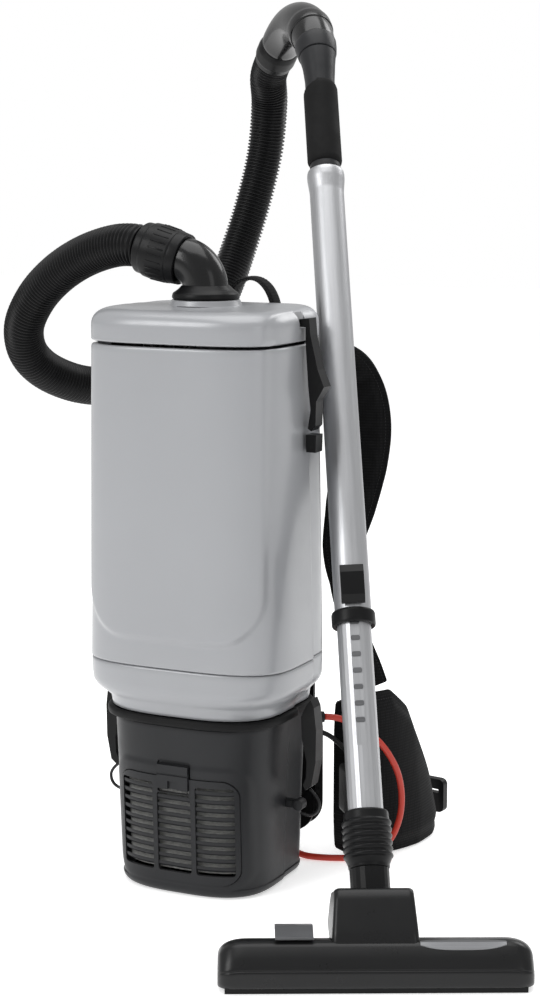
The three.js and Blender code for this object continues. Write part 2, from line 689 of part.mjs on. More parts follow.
function shoulderStrap(side) {
  const stations = [
    [36, 118, 492, 58, 10], [38, 134, 508, 60, 13], [47, 156, 511, 62, 14], [62, 176, 497, 63, 14],
    [75, 189, 468, 63, 14], [81, 193, 432, 62, 14], [79, 190, 392, 60, 14], [73, 182, 348, 54, 13],
    [68, 172, 306, 42, 9], [72, 163, 272, 25, 3.5], [90, 156, 225, 25, 3], [110, 150, 188, 25, 3],
    [118, 147, 171.5, 25, 3],
  ];
  return strap(stations.map(([x, y, z, wide, thick], i) => ({
    at: vector(side * x, y, z), wide, thick,
    across: vector(side, i > 8 ? 0.55 : 0.12, 0),
  })));
}

function carryHandle() {
  const stations = [
    [27, 101, 508], [28, 101, 535], [26, 101, 560], [18, 101, 577], [7, 101, 585],
    [-7, 101, 585], [-18, 101, 577], [-26, 101, 560], [-28, 101, 535], [-27, 101, 508],
  ];
  return strap(stations.map(([x, y, z]) => ({ at: vector(x, y, z), across: vector(0, 1, 0), wide: 24, thick: 4 })));
}

function buckle(side) {
  const shape = roundedRectangle(-17, 16, 17, 52, 6);
  const slot = roundedRectangle(-11, 37, 11, 41, 1.5);
  shape.holes.push(new THREE.Path(slot.getPoints(4)));
  const flat = frontProfile(shape, -4, 4);
  return flat.rotateZ(side * -10 * DEG).translate(side * 143, 243.5, 0);
}

piece('back_plate', surface(backPlate()), BLACK);
piece('back_pad', pad([-68, PAD_FACE, 215], [68, PAD_FACE + 18, 485], 22), CLOTH);
piece('lumbar_pad', pad([-79, PAD_FACE, 30], [79, PAD_FACE + 22, 160], 20), CLOTH);
for (const [side, word] of [[1, 'right'], [-1, 'left']]) {
  piece(`hip_wing_${word}`, hipWing(side), CLOTH);
  piece(`shoulder_strap_${word}`, shoulderStrap(side), CLOTH);
  piece(`belt_buckle_${word}`, buckle(side), BLACK);
}
piece('carry_handle', carryHandle(), CLOTH);

// ---------------------------------------------------------------- supply lead, control lead and switch
function glandBore(radius) {
  const bore = cylinder(radius, -14, 24);
  bore.applyQuaternion(new THREE.Quaternion().setFromUnitVectors(vector(0, 0, 1), GLAND_AXIS));
  return bore.translate(GLAND_FOOT.x, GLAND_FOOT.y, GLAND_FOOT.z);
}

function cableGland() {
  return turned([
    [0, -8], [8.6, -8], [8.6, 6], [7, 8], [5.4, 24], [0, 24],
  ], 18);
}

const LEAD_ROUTE = [
  [94.5, 69.9, 155], [99, 73, 154.5], [106, 79, 152.5], [116, 88, 147], [127, 99, 137], [137, 110, 124],
  [145, 119, 108], [151, 127, 88], [153.5, 131, 64], [152, 129, 40], [145, 121, 19], [133, 110, 7.5],
  [118, 99, 3.6], [102, 90, 3.4], [84, 84, 3.4], [68, 82, 3.8], [56, 82, 6.6], [46, 82, 9.8], [40, 82, 10.7],
  [36.6, 82, 10.8],
];
const CONTROL_ROUTE = [
  [76.5, 67.5, 139], [80, 71.5, 138.8], [85, 76.5, 137.4], [94, 83.5, 132], [103.5, 88.5, 123],
  [112, 91.5, 114], [116.5, 92.5, 107.5], [117.5, 92.5, 103.6],
];
const SWITCH = { centre: vector(117.5, 92.5, 78), turn: 41 };

function leadConnector() {
  return turned([
    [0, 0], [4.6, 0], [6.2, 16], [10.5, 22], [10.5, 58], [9, 61], [0, 61],
  ], 18);
}

function switchBox() {
  const shape = roundedRectangle(-13, -25, 13, 25, 5);
  const box1 = solid(frontProfile(shape, -9, 9));
  return box1.subtract(solid(box([-8.4, -12, -13.4], [8.4, 0, 13.4])));
}

function switchRocker() {
  return sideProfile([[-11.2, -12.4], [-7.6, -12.4], [-1, -4], [-1, 4], [-7.6, 12.4], [-9.4, 12.4], [-8.6, 0]], -7.8, 7.8);
}

const switchGroup = new THREE.Group();
switchGroup.position.copy(SWITCH.centre);
switchGroup.rotation.z = SWITCH.turn * DEG;
object.add(switchGroup);

placeAlong(piece('cable_gland', cableGland(), BLACK), GLAND_FOOT, GLAND_AXIS);
piece('supply_lead', cord(route(LEAD_ROUTE), LEAD_DIAMETER, 44, 3), RED);
placeAlong(piece('lead_connector', leadConnector(), BLACK), vector(36, 82, 10.8), vector(-1, 0, 0));
piece('control_lead', cord(route(CONTROL_ROUTE), CONTROL_DIAMETER, 16, 2), BLACK);
piece('switch_box', surface(switchBox()), BLACK, switchGroup);
piece('switch_rocker', switchRocker(), DARK_GREY, switchGroup);

// ---------------------------------------------------------------- wand
// In the wand's own frame Z runs up the tube from the floor tool's tilt axis.
const wand = new THREE.Group();
wand.position.copy(WAND_PIVOT);
wand.rotation.set(-WAND_LEAN * DEG, -WAND_ROLL * DEG, WAND_YAW * DEG, 'ZYX');
object.add(wand);

const handleGroup = new THREE.Group();
handleGroup.rotation.z = HANDLE_TWIST * DEG;
wand.add(handleGroup);

const handleLine = new BentLine({
  origin: vector(0, 0, OUTER_TUBE.high - 30), up: vector(0, 0, 1), toward: vector(0, 1, 0),
  rise: HANDLE_START - OUTER_TUBE.high + 30, bend: HANDLE_BEND, turn: 96 * DEG, tail: 26,
});
const atTurn = (degrees) => handleLine.rise + handleLine.bend * degrees * DEG;

// Bent hollow tube between two places on the handle's centre line; `radii` lists place and radius.
function handlePart(radii, wall) {
  const outer = radii.map(([run, radius]) => [run / handleLine.total, radius]);
  const inner = radii.map(([run, radius]) => [run / handleLine.total, radius - wall]).reverse();
  return sweptRound(handleLine, [...outer, ...inner], 18, vector(1, 0, 0));
}

const handleTube = handlePart([
  [0, 15.8], [30, 15.8], [31, 16.6], [36, 15.4], [handleLine.rise - 10, 15.4], [atTurn(4), 17.2],
  [atTurn(12), 19.6], [atTurn(20), 21.2], [atTurn(29.4), 22.2],
], 2.2);
const handleElbow = handlePart([
  [atTurn(30), 22.9], [atTurn(38), 23.4], [atTurn(50), 23.6], [atTurn(62), 23], [atTurn(74), 22.4],
  [atTurn(84), 21.8], [atTurn(93), 21.4],
], 3);

function outerTube() {
  const { low, high, radius, bore } = OUTER_TUBE;
  return turned([
    [bore, low], [radius, low], [radius, high - 22], [radius + 1.4, high - 12], [radius + 1.4, high - 3],
    [radius - 0.2, high], [bore, high], [bore, low],
  ], 24);
}

function innerTube() {
  const { low, high, radius, bore } = INNER_TUBE;
  const tube = solid(ring(radius, bore, low, high, 24));
  const rail = solid(box([-5.5, -17, 150], [5.5, -radius + 0.7, 460]));
  const notches = [];
  for (let k = 0; k < 12; k += 1) {
    const z = 173.5 + k * 15.6;
    notches.push(solid(box([-4.5, -17, z - 2.6], [4.5, -radius + 1, z + 2.6])));
  }
  return cut(tube, rail, ...notches);
}

function tubeConnector() {
  const profile = [[16.3, 92], [20, 92]];
  for (let k = 5; k >= 0; k -= 1) {
    const z = 48 + k * 5.9;
    profile.push([22.5, z + 5.2], [22.5, z + 2], [21, z + 1.4], [21, z]);
  }
  profile.push([18.6, 43], [18.6, 40.2], [14.5, 40.2], [14.5, 86], [16.3, 86.5]);
  const body = [[16.3, 91.9], ...profile.slice(1)];
  const closed = [...body, body[0]];
  return turned(closed.reverse(), 20);
}

function lockCollar() {
  return ring(20.2, 16.35, 267, 280.7, 24);
}

function lockButton() {
  const shape = polygon([[-17.9, 284], [-22, 284], [-27, 290], [-27.5, 312], [-24, 320], [-17.9, 320]]);
  const options = { depth: 18, bevelEnabled: true, bevelThickness: 2, bevelSize: 0.1, bevelSegments: 1 };
  const bar = new THREE.ExtrudeGeometry(shape, options).applyMatrix4(new THREE.Matrix4().set(
    0, 0, 1, -9,
    1, 0, 0, 0,
    0, 1, 0, 0,
    0, 0, 0, 1,
  ));
  return surface(cut(solid(bar), solid(cylinder(OUTER_TUBE.radius + 0.5, 270, 330, undefined, 24))));
}

// Soft grip over the front of the handle, and the sliding air valve behind it.
function gripSleeve() {
  const sleeve = solid(ring(17.5, 15.9, OUTER_TUBE.high + 8, 854, 24));
  const open = solid(box([-40, 4, 700], [40, 40, 900]));
  return surface(cut(sleeve, open));
}

function airValve() {
  const slider = solid(ring(18.4, 15.9, 792, 820, 24)).intersect(solid(box([-12, 6, 700], [12, 40, 900])));
  const thumb = solid(box([-5, 17, 800], [5, 21.3, 806]));
  return surface(join(slider, thumb));
}

piece('handle_tube', handleTube, DARK_GREY, handleGroup);
piece('handle_elbow', handleElbow, DARK_GREY, handleGroup);
const handleEnd = handleLine.getPoint((atTurn(96) + 1) / handleLine.total);
const handleAxis = vector(0, Math.sin(96 * DEG), Math.cos(96 * DEG));
const handleCuff = turned([[14, -5], [21.2, -5], [22.6, 2], [22.6, 14], [21, 22], [14, 22], [14, -5]]);
placeAlong(piece('handle_cuff', handleCuff, BLACK, handleGroup), handleEnd, handleAxis);
piece('grip_sleeve', gripSleeve(), RUBBER, handleGroup);
piece('air_valve', airValve(), DARK_GREY, handleGroup);
piece('outer_tube', outerTube(), STEEL, wand);
piece('inner_tube', surface(innerTube()), STEEL, wand);
piece('lock_collar', lockCollar(), BLACK, wand);
piece('lock_button', lockButton(), BLACK, wand);
piece('tube_connector', tubeConnector(), BLACK, wand);

// ---------------------------------------------------------------- floor tool
// In the tool's own frame X runs along the nozzle, -Y is its front and Z = 0 is the floor.
const tool = new THREE.Group();
tool.position.set(WAND_PIVOT.x, WAND_PIVOT.y, 0);
tool.rotation.z = WAND_YAW * DEG;
object.add(tool);

const NOZZLE_HALF = 136;
const NOZZLE_TOP = [[-74, 22], [-61, 37], [-52, 41], [-40, 39], [-20, 31], [0, 22], [4, 16]];

function nozzleProfile(lift = 0) {
  return [[4, 4 - lift], [-71, 4 - lift], [-74, 8], ...NOZZLE_TOP.map(([y, z]) => [y, z + lift])].reverse();
}

function nozzleBody() {
  const half = NOZZLE_HALF;
  const ends = polygon([
    [-half, 4], [half, 4], [half, 15], [half - 3, 26], [half - 8, 34], [half - 15, 39], [half - 24, 41.5],
    [24 - half, 41.5], [15 - half, 39], [8 - half, 34], [3 - half, 26], [-half, 15],
  ]);
  const plan = roundedRectangle(-half, -75, half, 5, 13);
  const outer = solid(sideProfile(nozzleProfile().reverse(), -half - 1, half + 1))
    .intersect(solid(frontProfile(ends, -80, 10)))
    .intersect(solid(prism(plan, 0, 60)));
  const cavity = solid(box([-130.5, -70.6, 0], [130.5, 0.6, 15]));
  const duct = solid(box([-22, -46, 10], [22, -24, 26]));
  return cut(outer, cavity, duct);
}

function solePlate() {
  const plate = solid(box([-123.5, -63.6, 2.6], [123.5, -6.4, 6.5]));
  const mouth = solid(box([-112, -44, 0], [112, -30, 10]));
  const wheelWells = [-64, 64].map((x) => solid(box([x - 8, -27, 0], [x + 8, -5.4, 10])));
  return cut(plate, mouth, ...wheelWells);
}

function brushFrame() {
  const outer = solid(box([-129.8, -69.9, GAP], [129.8, -0.1, 8.4]));
  return outer.subtract(solid(box([-124.2, -64.3, -5], [124.2, -5.7, 12])));
}

function neckHousing() {
  const front = solid(sideProfile([[-54, 38], [-50, 47], [-27, 70], [-19, 70], [-19, 30]], -35, 35));
  const cheek = [[-26, 69], [-14, 69], [14, 62], [22, 50], [20, 20], [-26, 20]];
  const cheeks = [solid(sideProfile(cheek, 23.5, 35)), solid(sideProfile(cheek, -35, -23.5))];
  const nozzleTop = solid(sideProfile(nozzleProfile(GAP + 0.1).reverse(), -60, 60));
  const corners = [
    solid(new THREE.BoxGeometry(30, 200, 60).rotateY(12 * DEG).translate(50.5, 0, 60)),
    solid(new THREE.BoxGeometry(30, 200, 60).rotateY(-12 * DEG).translate(-50.5, 0, 60)),
  ];
  return cut(join(front, ...cheeks), nozzleTop, ...corners);
}

// Barrel on the tilt axis with the stem that the tube connector turns on.
function swivelNeck() {
  const barrel = solid(new THREE.CylinderGeometry(14.5, 14.5, 45.6, 24).rotateZ(90 * DEG));
  const stem = solid(turned([
    [0, 0], [15, 0], [17.8, 14], [17.8, 39.8], [13.9, 39.8], [13.9, 62], [0, 62],
  ], 24));
  const bore = solid(cylinder(11.5, 12, 70, undefined, 20));
  return surface(cut(join(barrel, stem), bore));
}

function pedal() {
  const outline = [
    [-55, 42.6], [-56, 45.6], [-36, 49], [-15, 42.4], [-15, 38.8], [-31, 42.6], [-33, 37.1], [-38, 39.1], [-40, 43.4],
  ];
  return sideProfile(outline.slice().reverse(), -86.5, -53.5);
}

piece('nozzle_body', surface(nozzleBody()), BLACK, tool);
piece('sole_plate', surface(solePlate()), STEEL, tool);
piece('brush_frame', surface(brushFrame()), BLACK, tool);
piece('neck_housing', surface(neckHousing()), BLACK, tool);
piece('nozzle_pedal', pedal(), DARK_GREY, tool);
for (const [x, word] of [[64, 'right'], [-64, 'left']]) {
  const wheel = new THREE.CylinderGeometry(7.1, 7.1, 11, 20).rotateZ(90 * DEG).translate(x, -16, 7.2);
  piece(`nozzle_roller_${word}`, wheel, BLACK, tool);
}
piece('swivel_neck', swivelNeck(), BLACK, wand);

export default object;
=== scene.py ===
"""The backpack vacuum cleaner's looks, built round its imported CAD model.

The model is in metres, +Z up, with -Y as the pack's front. Sizes here are in millimetres where a name ends
in _MM and pass through mm(), because the hose and lead routes are those of the CAD source.
"""
import json
import math
import bmesh
import bpy
import numpy as np
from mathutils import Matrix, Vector


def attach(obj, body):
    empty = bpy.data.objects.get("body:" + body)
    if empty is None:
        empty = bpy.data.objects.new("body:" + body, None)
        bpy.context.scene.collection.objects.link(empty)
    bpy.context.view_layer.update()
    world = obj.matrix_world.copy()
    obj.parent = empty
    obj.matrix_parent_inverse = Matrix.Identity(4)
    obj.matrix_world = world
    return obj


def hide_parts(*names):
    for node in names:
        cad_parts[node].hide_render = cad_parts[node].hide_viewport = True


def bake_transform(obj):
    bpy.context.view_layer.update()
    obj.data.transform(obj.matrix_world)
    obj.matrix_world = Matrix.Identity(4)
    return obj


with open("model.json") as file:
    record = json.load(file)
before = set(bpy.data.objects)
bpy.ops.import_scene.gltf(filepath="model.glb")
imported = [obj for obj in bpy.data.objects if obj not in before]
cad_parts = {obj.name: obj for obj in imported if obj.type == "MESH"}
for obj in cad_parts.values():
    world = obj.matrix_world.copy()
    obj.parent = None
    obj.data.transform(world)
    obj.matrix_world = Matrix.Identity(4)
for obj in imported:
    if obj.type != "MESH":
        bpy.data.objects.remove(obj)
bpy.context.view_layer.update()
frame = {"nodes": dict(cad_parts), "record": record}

NODES = frame["nodes"]


def mm(points):
    """Millimetres to metres, as an array."""
    return np.asarray(points, float) / 1000.0


# ---------------------------------------------------------------- camera
CAMERA_DISTANCE = 2.006
CAMERA_AZIMUTH = 27.25      # degrees, from straight ahead towards the viewer's right
CAMERA_HEIGHT = 0.705
CAMERA_TURN = 1.75          # degrees, the optical axis passes the pack on its right
CAMERA_PITCH = 9.3
FOCAL_LENGTH = 75.52        # millimetres on a 36 mm long side

scene = bpy.context.scene
camera = bpy.data.objects.new("camera", bpy.data.cameras.new("camera"))
scene.collection.objects.link(camera)
scene.camera = camera
azimuth = math.radians(CAMERA_AZIMUTH)
camera.location = (
    CAMERA_DISTANCE * math.sin(azimuth), -CAMERA_DISTANCE * math.cos(azimuth), CAMERA_HEIGHT,
)
camera.rotation_euler = (
    math.radians(90 - CAMERA_PITCH), 0, azimuth - math.radians(CAMERA_TURN),
)
camera.data.lens = FOCAL_LENGTH
camera.data.sensor_width = 36
camera.data.clip_end = 20


# ---------------------------------------------------------------- node materials
class Nodes:
    """Short spellings for building one material's node tree."""

    def __init__(self, name, **sockets):
        self.material = bpy.data.materials.new(name)
        self.material.use_nodes = True
        self.tree = self.material.node_tree
        self.shader = self.tree.nodes["Principled BSDF"]
        for socket, value in sockets.items():
            self.shader.inputs[socket.replace("_", " ")].default_value = value
        self.place = self.add("ShaderNodeTexCoord").outputs["Object"]

    def add(self, kind, **settings):
        node = self.tree.nodes.new(kind)
        for key, value in settings.items():
            setattr(node, key, value)
        return node

    def link(self, source, target):
        self.tree.links.new(source, target)
        return self

    def scaled(self, scale, turn=(0, 0, 0), vector=None):
        node = self.add("ShaderNodeMapping")
        node.inputs["Scale"].default_value = scale
        node.inputs["Rotation"].default_value = [math.radians(angle) for angle in turn]
        self.link(vector or self.place, node.inputs["Vector"])
        return node.outputs["Vector"]

    def noise(self, scale, detail=3, roughness=0.55, vector=None):
        node = self.add("ShaderNodeTexNoise")
        node.inputs["Scale"].default_value = scale
        node.inputs["Detail"].default_value = detail
        node.inputs["Roughness"].default_value = roughness
        self.link(vector or self.place, node.inputs["Vector"])
        return node.outputs["Fac"]

    def wave(self, scale, direction):
        node = self.add("ShaderNodeTexWave", bands_direction=direction)
        node.inputs["Scale"].default_value = scale
        self.link(self.place, node.inputs["Vector"])
        return node.outputs["Fac"]

    def cells(self, scale):
        node = self.add("ShaderNodeTexVoronoi")
        node.inputs["Scale"].default_value = scale
        self.link(self.place, node.inputs["Vector"])
        return node.outputs["Distance"]

    def ranged(self, value, low, high, start=0.0, end=1.0):
        node = self.add("ShaderNodeMapRange")
        for socket, number in zip(("From Min", "From Max", "To Min", "To Max"), (start, end, low, high)):
            node.inputs[socket].default_value = number
        self.link(value, node.inputs["Value"])
        return node.outputs["Result"]

    def math(self, operation, a, b=0.5):
        node = self.add("ShaderNodeMath", operation=operation)
        for socket, value in zip(node.inputs, (a, b)):
            if isinstance(value, (int, float)):
                socket.default_value = value
            else:
                self.link(value, socket)
        return node.outputs[0]

    def blend(self, factor, first, second):
        node = self.add("ShaderNodeMix", data_type="RGBA")
        self.link(factor, node.inputs["Factor"])
        for socket, colour in ((node.inputs[6], first), (node.inputs[7], second)):
            if isinstance(colour, tuple):
                socket.default_value = (*colour, 1)
            else:
                self.link(colour, socket)
        return node.outputs[2]

    def colour(self, output):
        return self.link(output, self.shader.inputs["Base Color"])

    def roughness(self, output):
        return self.link(output, self.shader.inputs["Roughness"])

    def bump(self, height, depth_mm):
        node = self.add("ShaderNodeBump")
        node.inputs["Strength"].default_value = 1.0
        node.inputs["Distance"].default_value = depth_mm / 1000
        self.link(height, node.inputs["Height"])
        return self.link(node.outputs["Normal"], self.shader.inputs["Normal"])


def shade(colour, factor):
    return tuple(channel * factor for channel in colour)


def moulded(name, colour, rough, grain_mm=0.45, grain_depth=0.012, spread=0.06, **sockets):
    """Injection-moulded plastic: slight flow marks in the colour, an eroded-mould grain, a few dull patches."""
    n = Nodes(name, **sockets)
    flow = n.noise(9, detail=4, vector=n.scaled((1, 1, 0.45)))
    n.colour(n.blend(n.ranged(flow, 0, 1, 0.3, 0.7), shade(colour, 1 - spread), shade(colour, 1 + spread)))
    grain = n.noise(1000 / grain_mm, detail=2)
    dull = n.noise(38, detail=5, roughness=0.65)
    n.roughness(n.math("ADD", n.ranged(dull, rough * 0.88, rough * 1.12, 0.3, 0.7),
                       n.ranged(grain, -0.02, 0.02)))
    n.bump(grain, grain_depth)
    return n.material


def painted_silver(name, colour, rough):
    """Silver-grey plastic: fine metal flake under a satin coat, with a faint orange peel."""
    n = Nodes(name, Metallic=0.12, Coat_Weight=0.35, Coat_Roughness=0.22, Specular_IOR_Level=0.5)
    flake = n.cells(2600)
    cloud = n.noise(5, detail=3)
    tone = n.blend(n.ranged(cloud, 0, 1, 0.3, 0.7), shade(colour, 0.965), shade(colour, 1.03))
    n.colour(n.blend(n.ranged(flake, 0, 0.1, 0.2, 0.75), tone, shade(colour, 1.35)))
    n.roughness(n.ranged(n.noise(60, detail=4), rough * 0.9, rough * 1.12, 0.3, 0.7))
    n.bump(n.noise(420, detail=2), 0.02)
    return n.material


def brushed(name, colour, rough, along, streak=0.12):
    """Drawn or brushed metal: fine streaks along one direction, and small rubbed marks."""
    n = Nodes(name, Metallic=1.0)
    turn = Vector((0, 0, 1)).rotation_difference(Vector(along)).inverted().to_euler()
    place = n.add("ShaderNodeMapping", vector_type="POINT")
    place.inputs["Rotation"].default_value = turn
    n.link(n.place, place.inputs["Vector"])
    drawn = n.noise(1400, detail=3, vector=n.scaled((1, 1, 0.012), vector=place.outputs["Vector"]))
    rubbed = n.noise(70, detail=6, roughness=0.7, vector=n.scaled((1, 1, 0.35), vector=place.outputs["Vector"]))
    n.colour(n.blend(n.ranged(drawn, 0, 1, 0.25, 0.75), shade(colour, 1 - streak),
                     shade(colour, 1 + streak * 0.4)))
    n.roughness(n.math("ADD", n.ranged(drawn, rough * 0.8, rough * 1.15, 0.3, 0.7),
                       n.ranged(rubbed, 0, 0.1, 0.55, 0.8)))
    n.bump(drawn, 0.008)
    return n.material


def woven(name, colour, thread_mm, rough=0.86):
    """Woven webbing or pack cloth: crossing threads as bump, with a soft sheen, painted shade in the gaps and
    painted highlight on the high threads, and lighter worn patches.
    """
    n = Nodes(name, Sheen_Weight=0.05, Sheen_Roughness=0.45, Specular_IOR_Level=0.12)
    warp, other, weft = (n.wave(math.pi / thread_mm * 31, direction) for direction in ("X", "Y", "Z"))
    height = n.math("MAXIMUM", n.math("MULTIPLY", warp, weft), n.math("MULTIPLY", other, weft))
    worn = n.noise(24, detail=5, roughness=0.6)
    # Colour by thread height: painted shade in the gaps between threads, painted highlight on the high threads.
    thread_shade_and_highlight = n.blend(n.ranged(height, 0, 1), shade(colour, 0.5), shade(colour, 1.5))
    n.colour(n.blend(n.ranged(worn, 0, 0.35, 0.45, 0.8), thread_shade_and_highlight, shade(colour, 1.9)))
    n.roughness(n.ranged(worn, rough * 0.92, min(rough * 1.08, 1), 0.3, 0.7))
    n.bump(height, 0.16)
    return n.material


def fleece(name, colour):
    """Filter fleece: short tangled fibres over soft lumps."""
    n = Nodes(name, Roughness=0.95, Sheen_Weight=0.3)
    fibres = n.noise(900, detail=6, roughness=0.75, vector=n.scaled((0.25, 0.25, 1)))
    lumps = n.noise(130, detail=4)
    n.colour(n.blend(n.ranged(fibres, 0, 1, 0.35, 0.68), shade(colour, 0.5), shade(colour, 1.1)))
    n.bump(n.math("ADD", fibres, lumps), 0.5)
    return n.material


GREY = (0.285, 0.291, 0.304)
CHARCOAL = (0.016, 0.0165, 0.018)
BLACK = (0.0055, 0.0056, 0.006)
LOW_GLOSS = {"Specular_IOR_Level": 0.16}
MATERIALS = {
    "silver_plastic": painted_silver("silver_grey_plastic", GREY, 0.34),
    "dark_plastic": moulded("charcoal_plastic", CHARCOAL, 0.4, grain_depth=0.02, spread=0.1,
                            Specular_IOR_Level=0.22),
    "black_plastic": moulded("black_plastic", BLACK, 0.36, grain_mm=0.35, spread=0.12, **LOW_GLOSS),
    "gloss_black": moulded("glossy_black_plastic", (0.005, 0.0051, 0.0054), 0.22, grain_mm=0.4,
                           grain_depth=0.004, spread=0.12, Specular_IOR_Level=0.3, Coat_Weight=0.12, Coat_Roughness=0.06),
    "nozzle_plastic": moulded("nozzle_plastic", (0.0075, 0.0076, 0.008), 0.3, grain_mm=0.4, spread=0.12,
                              Specular_IOR_Level=0.26),
    "grip_rubber": moulded("grip_rubber", (0.0055, 0.0055, 0.0057), 0.75, grain_mm=0.9,
                           grain_depth=0.04, spread=0.14, **LOW_GLOSS),
    "bristle": moulded("bristle_nylon", (0.009, 0.009, 0.009), 0.5, grain_mm=0.3, **LOW_GLOSS),
    "thread": moulded("sewing_thread", (0.022, 0.022, 0.023), 0.7, grain_mm=0.25, grain_depth=0.03,
                      **LOW_GLOSS),
    "pack_cloth": woven("pack_cloth", (0.0055, 0.0056, 0.006), 0.9),
    "pad_mesh": woven("spacer_mesh", (0.0075, 0.0076, 0.008), 2.2),
    "rubber": moulded("black_rubber", (0.006, 0.006, 0.0063), 0.6, grain_mm=0.7, grain_depth=0.03, spread=0.12,
                      **LOW_GLOSS),
    "hose_plastic": moulded("hose_plastic", (0.0055, 0.0056, 0.006), 0.34, grain_mm=0.6, spread=0.12,
                            **LOW_GLOSS),
    "tube_metal": brushed("anodised_tube", (0.46, 0.465, 0.478), 0.44, along=(-0.262, 0.4451, 0.8563),
                          streak=0.08),
    "steel": brushed("brushed_steel", (0.42, 0.425, 0.435), 0.34, along=(1, 0, 0)),
    "pedal_metal": brushed("pedal_metal", (0.2, 0.203, 0.21), 0.36, along=(0.9, 0.44, 0)),
    "wire": moulded("coated_wire", (0.02, 0.02, 0.021), 0.34, Metallic=0.6),
    "webbing": woven("black_webbing", (0.006, 0.0062, 0.0066), 1.1),
    "filter": fleece("filter_fleece", (0.40, 0.40, 0.385)),
    "red_cable": moulded("red_cable_jacket", (0.42, 0.028, 0.014), 0.38, Specular_IOR_Level=0.4),
}


# ---------------------------------------------------------------- mesh building
def mesh_piece(name, points, faces, material, body=None):
    """One mesh object from points in metres, riding on a body."""
    mesh = bpy.data.meshes.new(name)
    mesh.from_pydata([tuple(point) for point in points], [], faces)
    mesh.validate()
    mesh.polygons.foreach_set("use_smooth", [True] * len(mesh.polygons))
    mesh.materials.append(material)
    mesh.update()
    piece = bpy.data.objects.new(name, mesh)
    scene.collection.objects.link(piece)
    if body:
        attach(piece, body)
    return piece


def grid_faces(rows, columns, wrap_rows=False):
    """Quads over a grid of points, row by row."""
    faces = []
    for i in range(rows if wrap_rows else rows - 1):
        for j in range(columns):
            a, b = i * columns + j, i * columns + (j + 1) % columns
            c, d = ((i + 1) % rows) * columns + (j + 1) % columns, ((i + 1) % rows) * columns + j
            faces.append((a, b, c, d))
    return faces


def capped_faces(rows, columns, first=0):
    """The faces of one closed loft whose points start at a given index."""
    ends = [tuple(reversed(range(columns))), tuple(range((rows - 1) * columns, rows * columns))]
    return [tuple(first + index for index in face) for face in grid_faces(rows, columns) + ends]


def lofted(name, rings, material, body=None, closed=False):
    """A skin through rings of equal counts; closed joins the last ring to the first."""
    rows, columns = len(rings), len(rings[0])
    faces = grid_faces(rows, columns, wrap_rows=closed)
    if not closed:
        faces.append(tuple(reversed(range(columns))))
        faces.append(tuple(range((rows - 1) * columns, rows * columns)))
    return outward(mesh_piece(name, np.vstack(rings), faces, material, body))


def outward(piece):
    """Turns every face of a closed piece outwards."""
    work = bmesh.new()
    work.from_mesh(piece.data)
    bmesh.ops.recalc_face_normals(work, faces=work.faces)
    work.to_mesh(piece.data)
    work.free()
    return piece


def add_modifier(piece, kind, **settings):
    modifier = piece.modifiers.new(kind.lower(), kind)
    for key, value in settings.items():
        setattr(modifier, key, value)
    return modifier


def soften_edges(piece, width_mm, segments=2):
    """Small rounded edges on a hard piece, with its faces kept flat beside them."""
    add_modifier(piece, "BEVEL", width=width_mm / 1000, segments=segments, limit_method="ANGLE",
                 angle_limit=math.radians(35), harden_normals=False, use_clamp_overlap=True)
    return piece


def sharp_by_angle(piece, angle=35):
    """Smooth shading that breaks at edges sharper than the angle."""
    piece.data.polygons.foreach_set("use_smooth", [True] * len(piece.data.polygons))
    add_modifier(piece, "EDGE_SPLIT", split_angle=math.radians(angle))
    return piece


# ---------------------------------------------------------------- routes
def centripetal(points, count):
    """The centripetal Catmull-Rom curve through the points, as evenly spaced points in millimetres."""
    points = np.asarray(points, float)
    ends = np.vstack([2 * points[0] - points[1], points, 2 * points[-1] - points[-2]])
    fine = []
    for i in range(1, len(ends) - 2):
        p0, p1, p2, p3 = ends[i - 1:i + 3]
        t01, t12, t23 = (max(np.linalg.norm(b - a), 1e-9) ** 0.5 for a, b in ((p0, p1), (p1, p2), (p2, p3)))
        m1 = ((p1 - p0) / t01 - (p2 - p0) / (t01 + t12) + (p2 - p1) / t12) * t12
        m2 = ((p2 - p1) / t12 - (p3 - p1) / (t12 + t23) + (p3 - p2) / t23) * t12
        for t in np.linspace(0, 1, 40, endpoint=False):
            fine.append((2 * t**3 - 3 * t**2 + 1) * p1 + (t**3 - 2 * t**2 + t) * m1
                        + (3 * t**2 - 2 * t**3) * p2 + (t**3 - t**2) * m2)
    fine.append(ends[-2])
    return resampled(np.array(fine), count)


def resampled(line, count):
    run = np.concatenate([[0], np.cumsum(np.linalg.norm(np.diff(line, axis=0), axis=1))])
    wanted = np.linspace(0, run[-1], count)
    return np.column_stack([np.interp(wanted, run, line[:, k]) for k in range(line.shape[1])])


def line_length(line):
    return float(np.linalg.norm(np.diff(line, axis=0), axis=1).sum())


def swept_rings(line, radii, sides):
    """Rings round a line, turned as little as possible from one to the next."""
    along = np.gradient(line, axis=0)
    along /= np.linalg.norm(along, axis=1)[:, None]
    across = np.cross(along[0], (0, 0, 1) if abs(along[0][2]) < 0.9 else (1, 0, 0))
    angles = np.linspace(0, 2 * math.pi, sides, endpoint=False)
    rings = []
    for centre, tangent, radius in zip(line, along, radii):
        across = across - tangent * across.dot(tangent)
        across /= np.linalg.norm(across)
        other = np.cross(tangent, across)
        rings.append(centre + radius * (np.outer(np.cos(angles), across) + np.outer(np.sin(angles), other)))
    return rings


